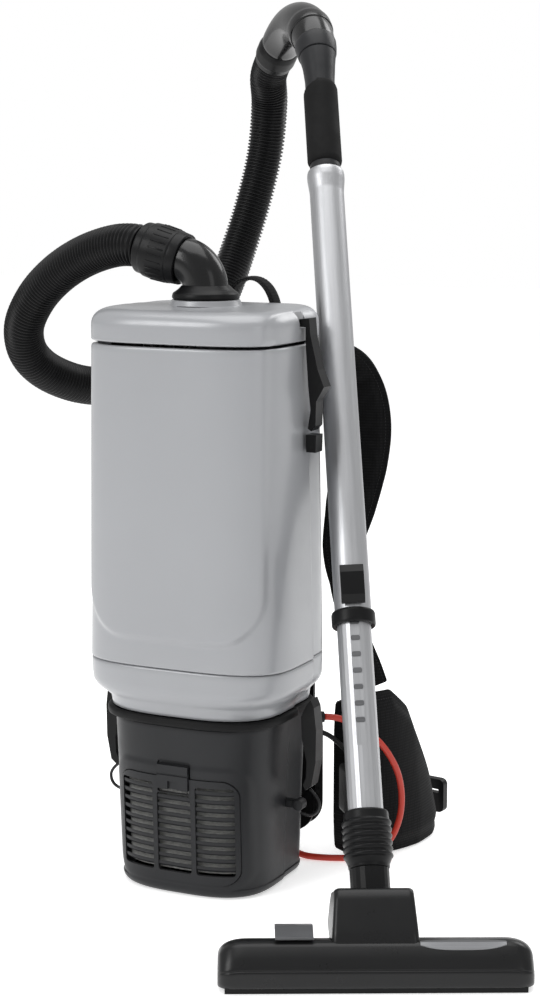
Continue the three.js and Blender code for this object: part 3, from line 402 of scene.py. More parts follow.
# ---------------------------------------------------------------- hose and leads
HOSE_DIAMETER = 0.0415
HOSE_PITCH_MM = 4.0
HOSE_ROUTE_MM = [
    [-68.1, 0, 619.3], [-76, 0.5, 620.7], [-98, 5, 620], [-141, 18, 609], [-183, 32, 589], [-217, 45, 563],
    [-242, 61, 532], [-251.5, 83, 504], [-248.5, 108, 484], [-236, 145, 467], [-222, 185, 459], [-206, 235, 457],
    [-191, 290, 470], [-179, 340, 505], [-172, 382, 557], [-166, 402, 595], [-153, 416, 650], [-140, 423, 712],
    [-131, 415.5, 767], [-124.3, 398.5, 793.2], [-115.1, 387.3, 805.1], [-110.64, 382.91, 809.76],
]
LEAD_DIAMETER = 0.0065
LEAD_ROUTE_MM = [
    [94.5, 69.9, 155], [99, 73, 154.5], [106, 79, 152.5], [116, 88, 147], [127, 99, 137], [137, 110, 124],
    [145, 119, 108], [151, 127, 88], [153.5, 131, 64], [152, 129, 40], [145, 121, 19], [133, 110, 7.5],
    [118, 99, 3.6], [102, 90, 3.4], [84, 84, 3.4], [68, 82, 3.8], [56, 82, 6.6], [46, 82, 9.8], [40, 82, 10.7],
    [36.6, 82, 10.8],
]
CONTROL_DIAMETER = 0.005
CONTROL_ROUTE_MM = [
    [76.5, 67.5, 139], [80, 71.5, 138.8], [85, 76.5, 137.4], [94, 83.5, 132], [103.5, 88.5, 123],
    [112, 91.5, 114], [116.5, 92.5, 107.5], [117.5, 92.5, 103.6],
]


def ribbed_hose():
    """One corrugated hose from the lid's cuff to the handle, with a rounded crest and a valley each pitch."""
    crest, valley = HOSE_DIAMETER / 2, HOSE_DIAMETER / 2 - 0.0024
    profile = [(0.0, valley), (0.2, valley + 0.0004), (0.34, crest - 0.0003), (0.5, crest),
               (0.66, crest - 0.0003), (0.8, valley + 0.0004)]
    rough_line = centripetal(HOSE_ROUTE_MM, 3000)
    ribs = int(line_length(rough_line) / HOSE_PITCH_MM)
    places = [(rib + part) / ribs for rib in range(ribs) for part, _ in profile] + [1.0]
    radii = [radius for _ in range(ribs) for _, radius in profile] + [valley]
    index = np.array(places) * (len(rough_line) - 1)
    whole = np.arange(len(rough_line))
    line = mm(np.column_stack([np.interp(index, whole, rough_line[:, k]) for k in range(3)]))
    hose = lofted("ribbed_hose", swept_rings(line, radii, 32), MATERIALS["hose_plastic"])
    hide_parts("hose_upper", "hose_lower")
    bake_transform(hose)
    return hose


def round_lead(name, node, route, diameter, material):
    line = mm(centripetal(route, 160))
    lead = lofted(name, swept_rings(line, [diameter / 2] * len(line), 20), material, "pack")
    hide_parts(node)
    return lead


ribbed_hose()
round_lead("supply_cable", "supply_lead", LEAD_ROUTE_MM, LEAD_DIAMETER, MATERIALS["red_cable"])
round_lead("control_cable", "control_lead", CONTROL_ROUTE_MM, CONTROL_DIAMETER, MATERIALS["black_plastic"])

def evenly(outline, count):
    """A closed outline resampled to a number of evenly spaced points."""
    return resampled(np.vstack([outline, outline[:1]]), count + 1)[:-1]


def filleted(points, radius, closed=False, steps=4):
    """A polyline with its corners rounded."""
    points = np.asarray(points, float)
    last, made = len(points) - 1, []
    for i, point in enumerate(points):
        if not closed and i in (0, last):
            made.append(point)
            continue
        before, after = points[i - 1] - point, points[(i + 1) % len(points)] - point
        reach = [min(radius, np.linalg.norm(arm) * 0.45) for arm in (before, after)]
        start = point + before / np.linalg.norm(before) * reach[0]
        end = point + after / np.linalg.norm(after) * reach[1]
        for t in np.linspace(0, 1, steps):
            made.append((1 - t)**2 * start + 2 * t * (1 - t) * point + t**2 * end)
    return np.array(made)


def carve(piece, *tools):
    """Cuts the tools out of a piece for good."""
    for tool in tools:
        modifier = add_modifier(piece, "BOOLEAN", operation="DIFFERENCE", solver="EXACT")
        modifier.object = tool
    cut = bpy.data.meshes.new_from_object(piece.evaluated_get(bpy.context.evaluated_depsgraph_get()))
    piece.modifiers.clear()
    piece.data = cut
    for tool in tools:
        bpy.data.objects.remove(tool, do_unlink=True)
    return piece


def rounded_rectangle(left, low, right, high, radius, steps=10):
    corners = []
    for cx, cy, start in ((right - radius, low + radius, -90), (right - radius, high - radius, 0),
                          (left + radius, high - radius, 90), (left + radius, low + radius, 180)):
        for k in range(steps + 1):
            angle = math.radians(start + 90 * k / steps)
            corners.append((cx + radius * math.cos(angle), cy + radius * math.sin(angle)))
    return np.array(corners)


def front_block(name, outline, low_y, high_y):
    """A tool or plate with a front-view outline (X, Z), between two depths."""
    rings = [mm([(x, y, z) for x, z in outline]) for y in (low_y, high_y)]
    return lofted(name, rings, MATERIALS["dark_plastic"])


# ---------------------------------------------------------------- the pack's plan outline
PLANS = {
    "shell": dict(side=110, front=84, rear=88, power=3.6, corner=48, step_y=18, step=5),
    "top": dict(side=102.3, front=82, rear=88, power=3.6, corner=43, step_y=18, step=4.5),
    "neck": dict(side=89, front=73, rear=72, power=3.0, corner=28, step_y=12, step=2),
    "base": dict(side=86, front=74, rear=70, power=3.0, corner=28, step_y=10, step=1.5),
    "foot": dict(side=79.6, front=68.5, rear=70, power=3.0, corner=27, step_y=10, step=1.5),
}
RING_POINTS = 288


def plan_ring(plan, inset=0.0):
    """The crowned front half and the squarer rear half, with its step at the sides."""
    side, front, rear = plan["side"] - inset, plan["front"] - inset, plan["rear"] - inset
    back, corner = side - plan["step"], max(plan["corner"] - inset, 3)
    angles = np.linspace(0, math.pi, 241)
    across = np.abs(np.cos(angles)) ** (2 / plan["power"]) * np.sign(np.cos(angles))
    ring = [(-side * a, -front * math.sin(t) ** (2 / plan["power"])) for a, t in zip(across, angles)]
    ring += [(side, plan["step_y"]), (back, plan["step_y"] + plan["step"])]
    for start, sign in ((0, 1), (90, -1)):
        for k in range(13):
            angle = math.radians(start + 90 * k / 12)
            ring.append((sign * (back - corner) + corner * math.cos(angle),
                         rear - corner + corner * math.sin(angle)))
    ring += [(-back, plan["step_y"] + plan["step"]), (-side, plan["step_y"])]
    return evenly(np.array(ring), RING_POINTS)


def between(first, second, t):
    return {key: first[key] + (second[key] - first[key]) * t for key in first}


def smoothstep(value):
    value = np.clip(value, 0, 1)
    return value * value * (3 - 2 * value)


def panel_lift(points, z, half, low, high, corner, band):
    """How far up its sloping border each point of a front panel lies, from 0 outside to 1 inside."""
    dx = np.abs(points[:, 0]) - (half - corner)
    middle, reach = (low + high) / 2, (high - low) / 2 - corner
    dz = abs(z - middle) - reach
    outside = np.hypot(np.maximum(dx, 0), max(dz, 0)) + np.minimum(np.maximum(dx, dz), 0) - corner
    return smoothstep(-outside / band) * (points[:, 1] < 0)


def plan_normals(ring):
    tangent = np.roll(ring, -1, axis=0) - np.roll(ring, 1, axis=0)
    normal = np.column_stack([tangent[:, 1], -tangent[:, 0]])
    return normal / np.linalg.norm(normal, axis=1)[:, None]


def level(z, plan, inset=0.0, panel=None, sunk=3.6):
    """One ring of the pack's skin, sunk by a little outside its raised front panel."""
    ring = plan_ring(plan, inset)
    if panel:
        depth = sunk * (1 - panel_lift(ring, z, *panel))
        ring = ring - plan_normals(ring) * depth[:, None]
    return mm(np.column_stack([ring, np.full(len(ring), z)]))


FRONT_PANEL = (98, 250, 700, 50, 8)     # half width, foot, head (beyond the lid), corner and border


def shell_plan(z):
    return between(PLANS["shell"], PLANS["top"], min(max((z - 226.3) / 304.7, 0), 1))


def body_skin():
    rings = [level(226.5, shell_plan(226), 3, FRONT_PANEL), level(226.6, shell_plan(226), 0.9, FRONT_PANEL)]
    rings += [level(227.5, shell_plan(227), 0.15, FRONT_PANEL)]
    rings += [level(z, shell_plan(z), 0, FRONT_PANEL) for z in np.linspace(229, 300, 60)]
    rings += [level(z, shell_plan(z), 0, FRONT_PANEL) for z in np.linspace(304, 528.6, 60)]
    rings += [level(530, shell_plan(530), 0.4, FRONT_PANEL), level(530.9, shell_plan(531), 1.4, FRONT_PANEL)]
    rings += [level(531, shell_plan(531), 5), level(500, shell_plan(500), 5.2)]
    rings += [level(229.6, shell_plan(229), 5.2)]
    body = lofted("body_skin", rings, MATERIALS["silver_plastic"], "pack")
    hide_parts("body_shell")


def lid_skin():
    plan = PLANS["top"]
    rings = [level(531.2 + 2.4, plan, 8), level(533.6, plan, 2.2, FRONT_PANEL)]
    rings += [level(534.4, plan, 0.6, FRONT_PANEL)]
    rings += [level(z, plan, 0, FRONT_PANEL) for z in (535.4, 540, 545, 549)]
    for angle in np.linspace(8, 90, 20):
        t = math.radians(angle)
        rings.append(level(549 + 15.5 * math.sin(t), plan, 19 * (1 - math.cos(t)), FRONT_PANEL,
                           3.6 * math.cos(t * 0.6)))
    rings += [level(564.5 + 1.5 * smoothstep((inset - 19) / 50), plan, inset) for inset in (24, 32, 42, 50)]
    circle = np.linspace(0, 2 * math.pi, RING_POINTS, endpoint=False) - math.pi
    for radius, z in ((35, 566), (34.2, 567.5), (33, 570.3), (32, 571), (23, 571), (22.3, 570.4), (22.3, 560),
                      (22.3, 558)):
        height = np.full(RING_POINTS, float(z))
        rings.append(mm(np.column_stack([radius * np.cos(circle), radius * np.sin(circle), height])))
    rings += [level(558, plan, 46), level(554, plan, 10), level(540, plan, 8)]
    lid = lofted("lid_skin", rings, MATERIALS["silver_plastic"], "lid", closed=True)
    seats = [front_block("seat", rounded_rectangle(left, 545.5, right, 610, 4), 0, 23)
             for left, right in ((92, 130), (-130, -92))]
    carve(lid, *seats)
    sharp_by_angle(lid, 30)
    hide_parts("lid_shell")


def dish_skin():
    steps = [(178.2, 0, 1.2), (179, 0, 0.3), (182, 0.01, 0), (188, 0.05, 0), (192, 0.25, 0), (196, 0.5, 0),
             (200, 0.69, 0.5), (204, 0.83, 1.3), (208, 0.915, 2.4), (213, 0.968, 3.2), (219, 0.99, 3.5),
             (223.6, 1, 3.6), (225.2, 1, 4.0), (225.9, 1, 5.1)]
    rings = [level(z, between(PLANS["neck"], PLANS["shell"], t), inset) for z, t, inset in steps]
    rings += [level(z, between(PLANS["neck"], PLANS["shell"], t), 7.5) for z, t, _ in reversed(steps)]
    dish = lofted("dish_skin", rings, MATERIALS["silver_plastic"], "pack", closed=True)
    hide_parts("lower_dish")


def gasket_skin():
    lip = dict(PLANS["neck"], side=93, front=77, rear=74)
    steps = [(169.5, 1.8), (170.3, 0.5), (172, 0), (175.2, 0), (176.8, 0.6), (177.5, 2), (177.5, 12),
             (169.4, 12)]
    rings = [level(z, lip, inset) for z, inset in steps]
    ring = lofted("gasket_lip", rings, MATERIALS["rubber"], "pack", closed=True)
    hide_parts("base_gasket")


SURROUND = (77, 6, 134, 24, 7)           # the raised frame round the exhaust door


def base_plan(z):
    return between(PLANS["foot"], PLANS["base"], min(max(z / 169, 0), 1))


def base_skin():
    rings = []
    for angle in np.linspace(0, 90, 8):
        t = math.radians(angle)
        rings.append(level(9 - 9 * math.cos(t), base_plan(0), 9 * (1 - math.sin(t))))
    rings += [level(z, base_plan(z), 0, SURROUND, 1.4) for z in np.linspace(10, 166, 90)]
    rings += [level(168, base_plan(168), 1.8), level(168.9, base_plan(169), 3), level(168.9, base_plan(169), 7),
              level(120, base_plan(120), 7.5), level(6, base_plan(6), 7.5)]
    base = lofted("base_skin", rings, MATERIALS["dark_plastic"], "pack")
    opening = front_block("opening", rounded_rectangle(-64.5, 14.5, 64.5, 119.5, 16), -100, -52)
    latch = front_block("latch_well", rounded_rectangle(-18, 104, 18, 135, 4), -100, -69.5)
    gland = turned_piece("gland_bore", [(0, -14), (9.3, -14), (9.3, 24), (0, 24)], (74.5, 56, 155),
                         (0.82, 0.57, 0), MATERIALS["rubber"])
    carve(base, opening, latch, gland)
    sharp_by_angle(base, 30)
    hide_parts("base_housing")
    for side in (-1, 1):
        boss = turned_piece("catch_boss_" + ("right" if side > 0 else "left"),
                            filleted([(0, -6), (5.5, -6), (5.5, 6), (0, 6)], 1), (side * 95, 10, 82), (0, 1, 0),
                            MATERIALS["dark_plastic"], "pack")
        arm = lofted(boss.name.replace("boss", "arm"), [mm([(side * x, 10 + u, 82 + v) for u, v in
                     rounded_rectangle(-4, -4, 4, 4, 1.2, 3)]) for x in (80, 93)],
                     MATERIALS["dark_plastic"], "pack")
        sharp_by_angle(arm)


def front_depth(x, z, proud=0.0):
    """The base's front surface at one place, standing proud by a little."""
    plan = base_plan(z)
    reach = min(abs(x) / plan["side"], 0.999)
    return -(plan["front"] * (1 - reach ** plan["power"]) ** (1 / plan["power"]) + proud)


def exhaust_grille():
    """The louvred door: a bordered plate with three windows, and curved slats across each."""
    rows, columns = 60, 84
    xs, zs = np.linspace(-64, 64, columns), np.linspace(15, 119, rows)
    edge = rounded_rectangle(-64, 15, 64, 119, 16)
    points = [(x, front_depth(x, z, proud), z) for proud in (1.4, -2.2) for z in zs for x in xs]
    faces = []
    for sheet in (0, 1):
        for i in range(rows - 1):
            for j in range(columns - 1):
                a = sheet * rows * columns + i * columns + j
                faces.append((a, a + 1, a + columns + 1, a + columns))
    rim = list(range(columns)) + [i * columns + columns - 1 for i in range(1, rows)]
    rim += [(rows - 1) * columns + j for j in range(columns - 2, -1, -1)]
    rim += [i * columns for i in range(rows - 2, 0, -1)]
    offset = rows * columns
    faces += [(a, b, b + offset, a + offset) for a, b in zip(rim, rim[1:] + rim[:1])]
    door = outward(mesh_piece("exhaust_grille", mm(points), faces, MATERIALS["dark_plastic"], "exhaust_door"))
    keep = front_block("keep", edge, -100, -40)
    outer = front_block("outer", np.array([(-90, -5), (90, -5), (90, 140), (-90, 140)]), -99, -41)
    carve(outer, keep)
    windows = [front_block("window", rounded_rectangle(left, 24, right, top, 3), -100, -40)
               for left, right, top in ((-60, -23, 112), (-18, 18, 103), (23, 60, 112))]
    notch = front_block("notch", rounded_rectangle(-17.1, 103.6, 17.1, 125, 2), -100, -40)
    carve(door, outer, *windows, notch)
    sharp_by_angle(door, 30)
    soften_edges(door, 0.5, segments=2)
    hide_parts("exhaust_door")
    slats, faces = [], []
    for column, (left, right) in enumerate(((-60.5, -22.5), (-18.5, 18.5), (22.5, 60.5))):
        for row in range(10 if column != 1 else 9):
            z = 26 + row * 8.4
            section = filleted([(0.9, 4.6), (0.9, 7.8), (-1.2, 6.6), (-2.8, 3.0), (-2.8, 1.6)], 0.8,
                               closed=True, steps=3)
            rings = [[(x, front_depth(x, z) - u * 0.8, z + v) for u, v in section]
                     for x in np.linspace(left, right, 15)]
            base_index = len(slats)
            slats += [point for ring in rings for point in ring]
            faces += capped_faces(len(rings), len(section), base_index)
    louvres = outward(mesh_piece("exhaust_louvres", mm(slats), faces, MATERIALS["dark_plastic"], "exhaust_door"))
    sharp_by_angle(louvres, 40)


# ---------------------------------------------------------------- turned and swept pieces
def turned_piece(name, profile, origin, axis, material, body=None, sides=72):
    """A solid of revolution: the profile lists radius and height, from the axis or round a closed section."""
    axis = Vector(axis).normalized()
    turn = np.array(Vector((0, 0, 1)).rotation_difference(axis).to_matrix())
    angles = np.linspace(0, 2 * math.pi, sides, endpoint=False)
    open_ends = profile[0][0] < 1e-6
    rings = []
    for radius, height in (profile[1:-1] if open_ends else profile):
        ring = np.column_stack([radius * np.cos(angles), radius * np.sin(angles), np.full(sides, height)])
        rings.append(mm(np.asarray(origin) + ring @ turn.T))
    piece = lofted(name, rings, material, body, closed=not open_ends)
    return sharp_by_angle(piece, 40)


def swept_piece(name, line_mm, radii_mm, material, body, sides=48, bore_mm=None):
    """A round piece along a line; with a bore it is an open pipe."""
    line = np.asarray(line_mm, float)
    rings = swept_rings(mm(line), np.asarray(radii_mm, float) / 1000, sides)
    if bore_mm is not None:
        bore = np.asarray(bore_mm, float) if np.ndim(bore_mm) else np.full(len(line), bore_mm)
        rings += swept_rings(mm(line), bore / 1000, sides)[::-1]
    return sharp_by_angle(lofted(name, rings, material, body, closed=bore_mm is not None), 40)


def bent_line(origin, up, toward, rise, bend, turn, tail, places):
    """Points at distances along a straight, an arc and a straight."""
    origin, up, toward = (np.asarray(value, float) for value in (origin, up, toward))
    points = []
    for run in places:
        angle = min(max((run - rise) / bend, 0), turn)
        rest = max(run - rise - bend * turn, 0)
        along = min(run, rise) + bend * math.sin(angle) + rest * math.cos(turn)
        away = bend * (1 - math.cos(angle)) + rest * math.sin(turn)
        points.append(origin + up * along + toward * away)
    return np.array(points)


def turn_z(degrees):
    c, s = math.cos(math.radians(degrees)), math.sin(math.radians(degrees))
    return np.array([[c, -s, 0], [s, c, 0], [0, 0, 1]])


def turn_y(degrees):
    c, s = math.cos(math.radians(degrees)), math.sin(math.radians(degrees))
    return np.array([[c, 0, s], [0, 1, 0], [-s, 0, c]])


def turn_x(degrees):
    c, s = math.cos(math.radians(degrees)), math.sin(math.radians(degrees))
    return np.array([[1, 0, 0], [0, c, -s], [0, s, c]])


WAND_PIVOT = np.array([237.7, -146.8, 45.0])
WAND = turn_z(26.25) @ turn_y(-2.55) @ turn_x(-31)
TOOL = turn_z(26.25)
HANDLE = WAND @ turn_z(17)


def on_wand(points, frame_turn=WAND):
    return WAND_PIVOT + np.asarray(points, float) @ frame_turn.T


def on_tool(points):
    return WAND_PIVOT * (1, 1, 0) + np.asarray(points, float) @ TOOL.T


def wand_turned(name, node, profile, material, body, sides=72):
    piece = turned_piece(name, profile, WAND_PIVOT, WAND @ np.array([0, 0, 1.0]), material, body, sides)
    if node:
        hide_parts(node)
    return piece


def inlet_pieces():
    turn = math.radians(76)
    rise, bend = 42.9, 28
    total = rise + bend * turn + 20
    spigot = total - 20
    places = list(np.linspace(0, 33.5, 4)) + list(np.linspace(rise, rise + bend * turn, 28)) + [spigot + 0.4]
    radii = [21.7] * len(places)
    places += [spigot + 0.5, total]
    radii += [20.6, 20.6]
    line = bent_line((0, 0, 537.5), (0, 0, 1), (-1, 0, 0), rise, bend, turn, 20, places)
    elbow = swept_piece("elbow_skin", line, radii, MATERIALS["gloss_black"], "lid", 64, 18)
    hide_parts("inlet_elbow")
    turned_piece("elbow_collar", filleted([(21.9, 571.4), (31, 571.4), (32.4, 573), (31.6, 577), (26.5, 580.5),
                                           (23, 584), (21.9, 585)], 1.2, closed=True),
                 (0, 0, 0), (0, 0, 1), MATERIALS["black_plastic"], "lid")
    axis = np.array([-math.sin(turn), 0, math.cos(turn)])
    start = bent_line((0, 0, 537.5), (0, 0, 1), (-1, 0, 0), rise, bend, turn, 20, [total - 19])[0]
    profile = filleted([(20.95, 0), (24.6, 0), (25.4, 7.5), (25.4, 9), (26.0, 9.6), (26.9, 29),
                        (26.5, 37), (25.2, 38.2), (24.9, 45), (23.9, 46), (20.95, 46)], 0.9, closed=True)
    cuff = turned_piece("hose_cuff_skin", profile, start, axis,
                        MATERIALS["black_plastic"], "hose_cuff")
    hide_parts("hose_cuff")
    points, faces = [], []
    frame_turn = np.array(Vector((0, 0, 1)).rotation_difference(Vector(axis)).to_matrix())
    for k in range(24):
        angle = 2 * math.pi * k / 24
        out = np.array([math.cos(angle), math.sin(angle), 0])
        side = np.array([-math.sin(angle), math.cos(angle), 0])
        rings = []
        for z, r, half in ((12, 26.0, 0.5), (13, 26.7, 0.9), (28, 27.5, 0.9), (29.5, 26.7, 0.5)):
            rings += [out * radius + side * reach + np.array([0, 0, z]) for radius, reach in (
                (r - 1, -half), (r, -half * 0.6), (r, half * 0.6), (r - 1, half))]
        first = len(points)
        points += [start + frame_turn @ p for p in rings]
        faces += capped_faces(4, 4, first)
    sharp_by_angle(outward(mesh_piece("hose_cuff_ribs", mm(points), faces, MATERIALS["black_plastic"], "hose_cuff")), 50)


def handle_pieces():
    rise, bend, turn = 870 - 722, 115, math.radians(96)

    def at(degrees):
        return rise + bend * math.radians(degrees)

    def line(places):
        return on_wand(bent_line((0, 0, 722), (0, 0, 1), (0, 1, 0), rise, bend, turn, 26, places), HANDLE)

    places = np.array([0, 29, 30.5, 36, *np.linspace(40, rise - 10, 6),
                       *(at(d) for d in np.linspace(0, 10.5, 8))])
    keys = [0, 30, 31, 36, rise - 10, at(4), at(11)]
    sizes = [15.8, 15.8, 16.6, 15.4, 15.4, 17.0, 19.2]
    lower = swept_piece("handle_lower", line(places), np.interp(places, keys, sizes), MATERIALS["dark_plastic"],
                        "pack", 64, 13.2)
    ring_places = np.array([at(d) for d in (11, 11.2, 12, 16, 19, 19.8, 20)])
    swept_piece("handle_collar", line(ring_places), [18.8, 19.8, 20.3, 21.4, 21.9, 21.5, 20.6],
                MATERIALS["dark_plastic"], "pack", 64, 17)
    upper_places = np.array([at(d) for d in np.linspace(20, 29.6, 8)])
    swept_piece("handle_upper", line(upper_places), np.linspace(21.0, 22.2, 8), MATERIALS["gloss_black"],
                "pack", 64, 17)
    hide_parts("handle_tube")
    bends = np.array([at(d) for d in (30, 30.3, 31.2, 36, 37, 37.4, 38, *np.linspace(40, 92.4, 26), 93)])
    keys = [at(d) for d in (30, 30.3, 31.2, 36, 37, 37.4, 38, 50, 62, 74, 84, 92, 93)]
    sizes = [22.2, 23.2, 23.6, 24.0, 23.8, 23.2, 22.9, 22.9, 22.6, 22.2, 21.8, 21.5, 21.0]
    elbow = swept_piece("handle_bend_skin", line(bends), np.interp(bends, keys, sizes), MATERIALS["gloss_black"],
                        "pack", 64, 18)
    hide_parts("handle_elbow")
    end = line([at(96) + 1])[0]
    axis = HANDLE @ np.array([0, math.sin(turn), math.cos(turn)])
    profile = filleted([(14, -5), (21.0, -5), (22.2, 0), (22.6, 2), (22.6, 14), (21.8, 16), (21, 22),
                        (14, 22)], 1, closed=True)
    cuff = turned_piece("handle_cuff_skin", profile, end, axis,
                        MATERIALS["black_plastic"], "handle_cuff")
    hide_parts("handle_cuff")
    # The grip: a soft sleeve over the front with an arched head, closed round the tube below the slider.
    rows, columns = 44, 40
    points = []
    for z in np.linspace(760, 855, rows):
        t = (z - 760) / 95
        half = math.radians(118) * (1 - smoothstep((t - 0.86) / 0.14) * 0.75)
        thick = 1.9 * min(1, (1 - t) * 22, t * 22) ** 0.5
        for radius in (15.6, 15.75 + thick):
            for a in np.linspace(-half, half, columns):
                fall = min(1, (half - abs(a)) / 0.12) ** 0.5
                r = 15.6 + (radius - 15.6) * fall if radius > 15.6 else radius
                points.append((r * math.sin(a), -r * math.cos(a), z))
    faces = []
    for i in range(rows - 1):
        for skin in (0, 1):
            for j in range(columns - 1):
                a = (2 * i + skin) * columns + j
                faces.append((a, a + 1, a + 2 * columns + 1, a + 2 * columns))
        for j in (0, columns - 1):
            a = 2 * i * columns + j
            faces.append((a, a + columns, a + 3 * columns, a + 2 * columns))
    for i in (0, rows - 1):
        for j in range(columns - 1):
            a = 2 * i * columns + j
            faces.append((a, a + 1, a + columns + 1, a + columns))
    grip = outward(mesh_piece("grip_skin", mm(on_wand(points, HANDLE)), faces, MATERIALS["grip_rubber"],
                              "pack"))
    sharp_by_angle(grip, 60)
    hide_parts("grip_sleeve")


def wand_pieces():
    outer = filleted([(16.35, 281), (17.2, 281), (17.3, 281.6), (17.3, 728), (18.5, 739), (18.9, 742), (18.9, 748.4),
                      (18.2, 751.6), (17.2, 752), (16.35, 752)], 1.6, closed=True)
    wand_turned("outer_tube_skin", "outer_tube", outer, MATERIALS["tube_metal"], "pack",
                96)
    # Plates of darker metal just under the tube's face, one in each height notch: painted shade for the hollow tube
    # seen through the notch.
    points, faces = [], []
    for k in range(8):
        for u, v in rounded_rectangle(-4.3, 171.2 + k * 15.6, 4.3, 175.8 + k * 15.6, 1.6, 3):
            points += [(u, -math.sqrt(15.98**2 - u * u) + 0.15, v), (u, -14.4, v)]
        count = len(points) // (2 * (k + 1))
        first = 2 * count * k
        ring = [first + 2 * j for j in range(count)]
        faces += [tuple(ring), tuple(index + 1 for index in reversed(ring))]
        faces += [(a, a + 1, b + 1, b) for a, b in zip(ring, ring[1:] + ring[:1])]
    notch_shade_plates = outward(mesh_piece("height_notch_shade", mm(on_wand(points)), faces, MATERIALS["pedal_metal"],
                                 "wand_inner"))
    sharp_by_angle(notch_shade_plates)
    collar = filleted([(16.4, 267), (20.2, 267), (20.6, 269), (20.6, 278.5), (19.8, 280.7), (16.4, 280.7)],
                      1, closed=True)
    wand_turned("lock_collar_skin", "lock_collar", collar, MATERIALS["black_plastic"],
                "pack")
    profile = [(16.3, 92), (19, 92), (20.2, 90.5)]
    for k in range(5, -1, -1):
        z = 48 + k * 5.9
        profile += [(20.6, z + 5.5), (22.0, z + 4.9), (22.5, z + 3.6), (22.4, z + 2.2), (21.4, z + 0.9),
                    (20.8, z + 0.3)]
    profile += [(19.2, 44.5), (18.6, 43), (18.6, 40.2), (14.5, 40.2), (14.5, 86), (16.3, 86.5)]
    profile = filleted(profile, 0.8, closed=True, steps=3)
    wand_turned("connector_skin", "tube_connector", profile, MATERIALS["black_plastic"],
                "wand_inner", 80)


def nozzle_pieces():
    half = 136
    section = [(4, 4), (4, 16), (0, 22), (-20, 31), (-40, 39), (-50, 41), (-57, 40), (-66, 31), (-72, 23),
               (-72, 21.5), (-73.6, 20.5), (-74, 9), (-71, 4)]
    section = filleted(section, 3, closed=True, steps=4)
    rings = []
    for x in np.concatenate([-half + 26 * (1 - np.cos(np.linspace(0, math.pi / 2, 18))), np.linspace(-108, 108, 31),
                             half - 26 * (1 - np.cos(np.linspace(math.pi / 2, 0, 18)))]):
        out = max(abs(x) - (half - 26), 0) / 26
        top = math.sqrt(max(1 - out ** 2.4, 0.0))
        plan = math.sqrt(max(1 - (max(abs(x) - (half - 14), 0) / 14) ** 2, 0.0))
        ring = []
        for y, z in section:
            zz = 4 + (z - 4) * (0.56 + 0.44 * top) if z > 4 else z
            yy = -35 + (y + 35) * (1 - 13 / 39 * (1 - plan))
            ring.append((x, yy, zz))
        rings.append(mm(on_tool(ring)))
    body = lofted("nozzle_skin", rings, MATERIALS["nozzle_plastic"], "nozzle")
    profile = filleted([(-58, 37), (-53, 47), (-31, 73), (-25, 77.5), (-19, 76.5), (-11, 70), (14, 62), (22, 50),
                        (20, 28), (-20, 28)], 4, closed=True, steps=5)
    middle = profile.mean(axis=0)
    rings = []
    for x in np.concatenate([-36 + 5 * (1 - np.cos(np.linspace(0, math.pi / 2, 8))), [0],
                             36 - 5 * (1 - np.cos(np.linspace(math.pi / 2, 0, 8)))]):
        shrink = 1 - 0.16 * (1 - math.sqrt(max(1 - (max(abs(x) - 31, 0) / 5) ** 2, 0)))
        side_view = middle + (profile - middle) * shrink
        rings.append(mm(on_tool([(x * (1 + 0.16 * (60 - z) / 60), y, z) for y, z in side_view])))
    housing = lofted("housing_skin", rings, MATERIALS["nozzle_plastic"], "nozzle")
    slot = lofted("slot", [mm(on_tool([(x, y, z) for x, y in rounded_rectangle(-23.4, -19, 23.4, 60, 3)]))
                           for z in (24, 120)], MATERIALS["nozzle_plastic"])
    carve(housing, slot)
    sharp_by_angle(housing, 40)
    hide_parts("neck_housing")
    cavity = lofted("cavity", [mm(on_tool([(x, y, z) for x, y in rounded_rectangle(-130.5, -70.6, 130.5, 0.6, 8)]))
                               for z in (-5, 13.6)], MATERIALS["black_plastic"])
    carve(body, cavity)
    sharp_by_angle(body, 42)
    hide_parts("nozzle_body")
    insert, count = [], 26
    for x in np.linspace(38, 112, count):
        wide = 1 - abs((x - 75) / 37) ** 3 * 0.55
        for t, lift in ((0.04, -0.6), (0.12, 0.7), (0.5, 1.0), (0.88, 0.7), (0.96, -0.6)):
            y = -49.5 - 13 * (0.5 + (t - 0.5) * wide)
            z = np.interp(-y, (50, 57, 66, 72), (41, 40, 31, 23))
            insert.append((x, y - lift * 0.6, z + lift * 0.8))
        for t in (0.96, 0.04):
            y = -49.5 - 13 * (0.5 + (t - 0.5) * wide)
            insert.append((x, y + 2, np.interp(-y, (50, 57, 66, 72), (41, 40, 31, 23)) - 3))
    rings = [mm(on_tool(insert[7 * k:7 * k + 7])) for k in range(count)]
    sharp_by_angle(lofted("nozzle_trim", rings, MATERIALS["pedal_metal"], "nozzle"))
    tufts, faces = [], []
    for k in range(190):
        x = -122 + 244 * k / 189
        lean = math.sin(k * 12.9898) * 0.5
        y, foot = -66.5 + 0.6 * math.sin(k * 4.1), 0.35 + 0.3 * abs(math.sin(k * 2.3))
        first = len(tufts)
        for z, r in ((6.5, 0.55), (foot, 0.75)):
            for a in range(6):
                angle = a * math.pi / 3
                tufts.append((x + r * math.cos(angle) + lean * (6.5 - z) / 6, y + r * math.sin(angle), z))
        faces += capped_faces(2, 6, first)
    outward(mesh_piece("bristle_strip", mm(on_tool(tufts)), faces, MATERIALS["bristle"], "brush"))


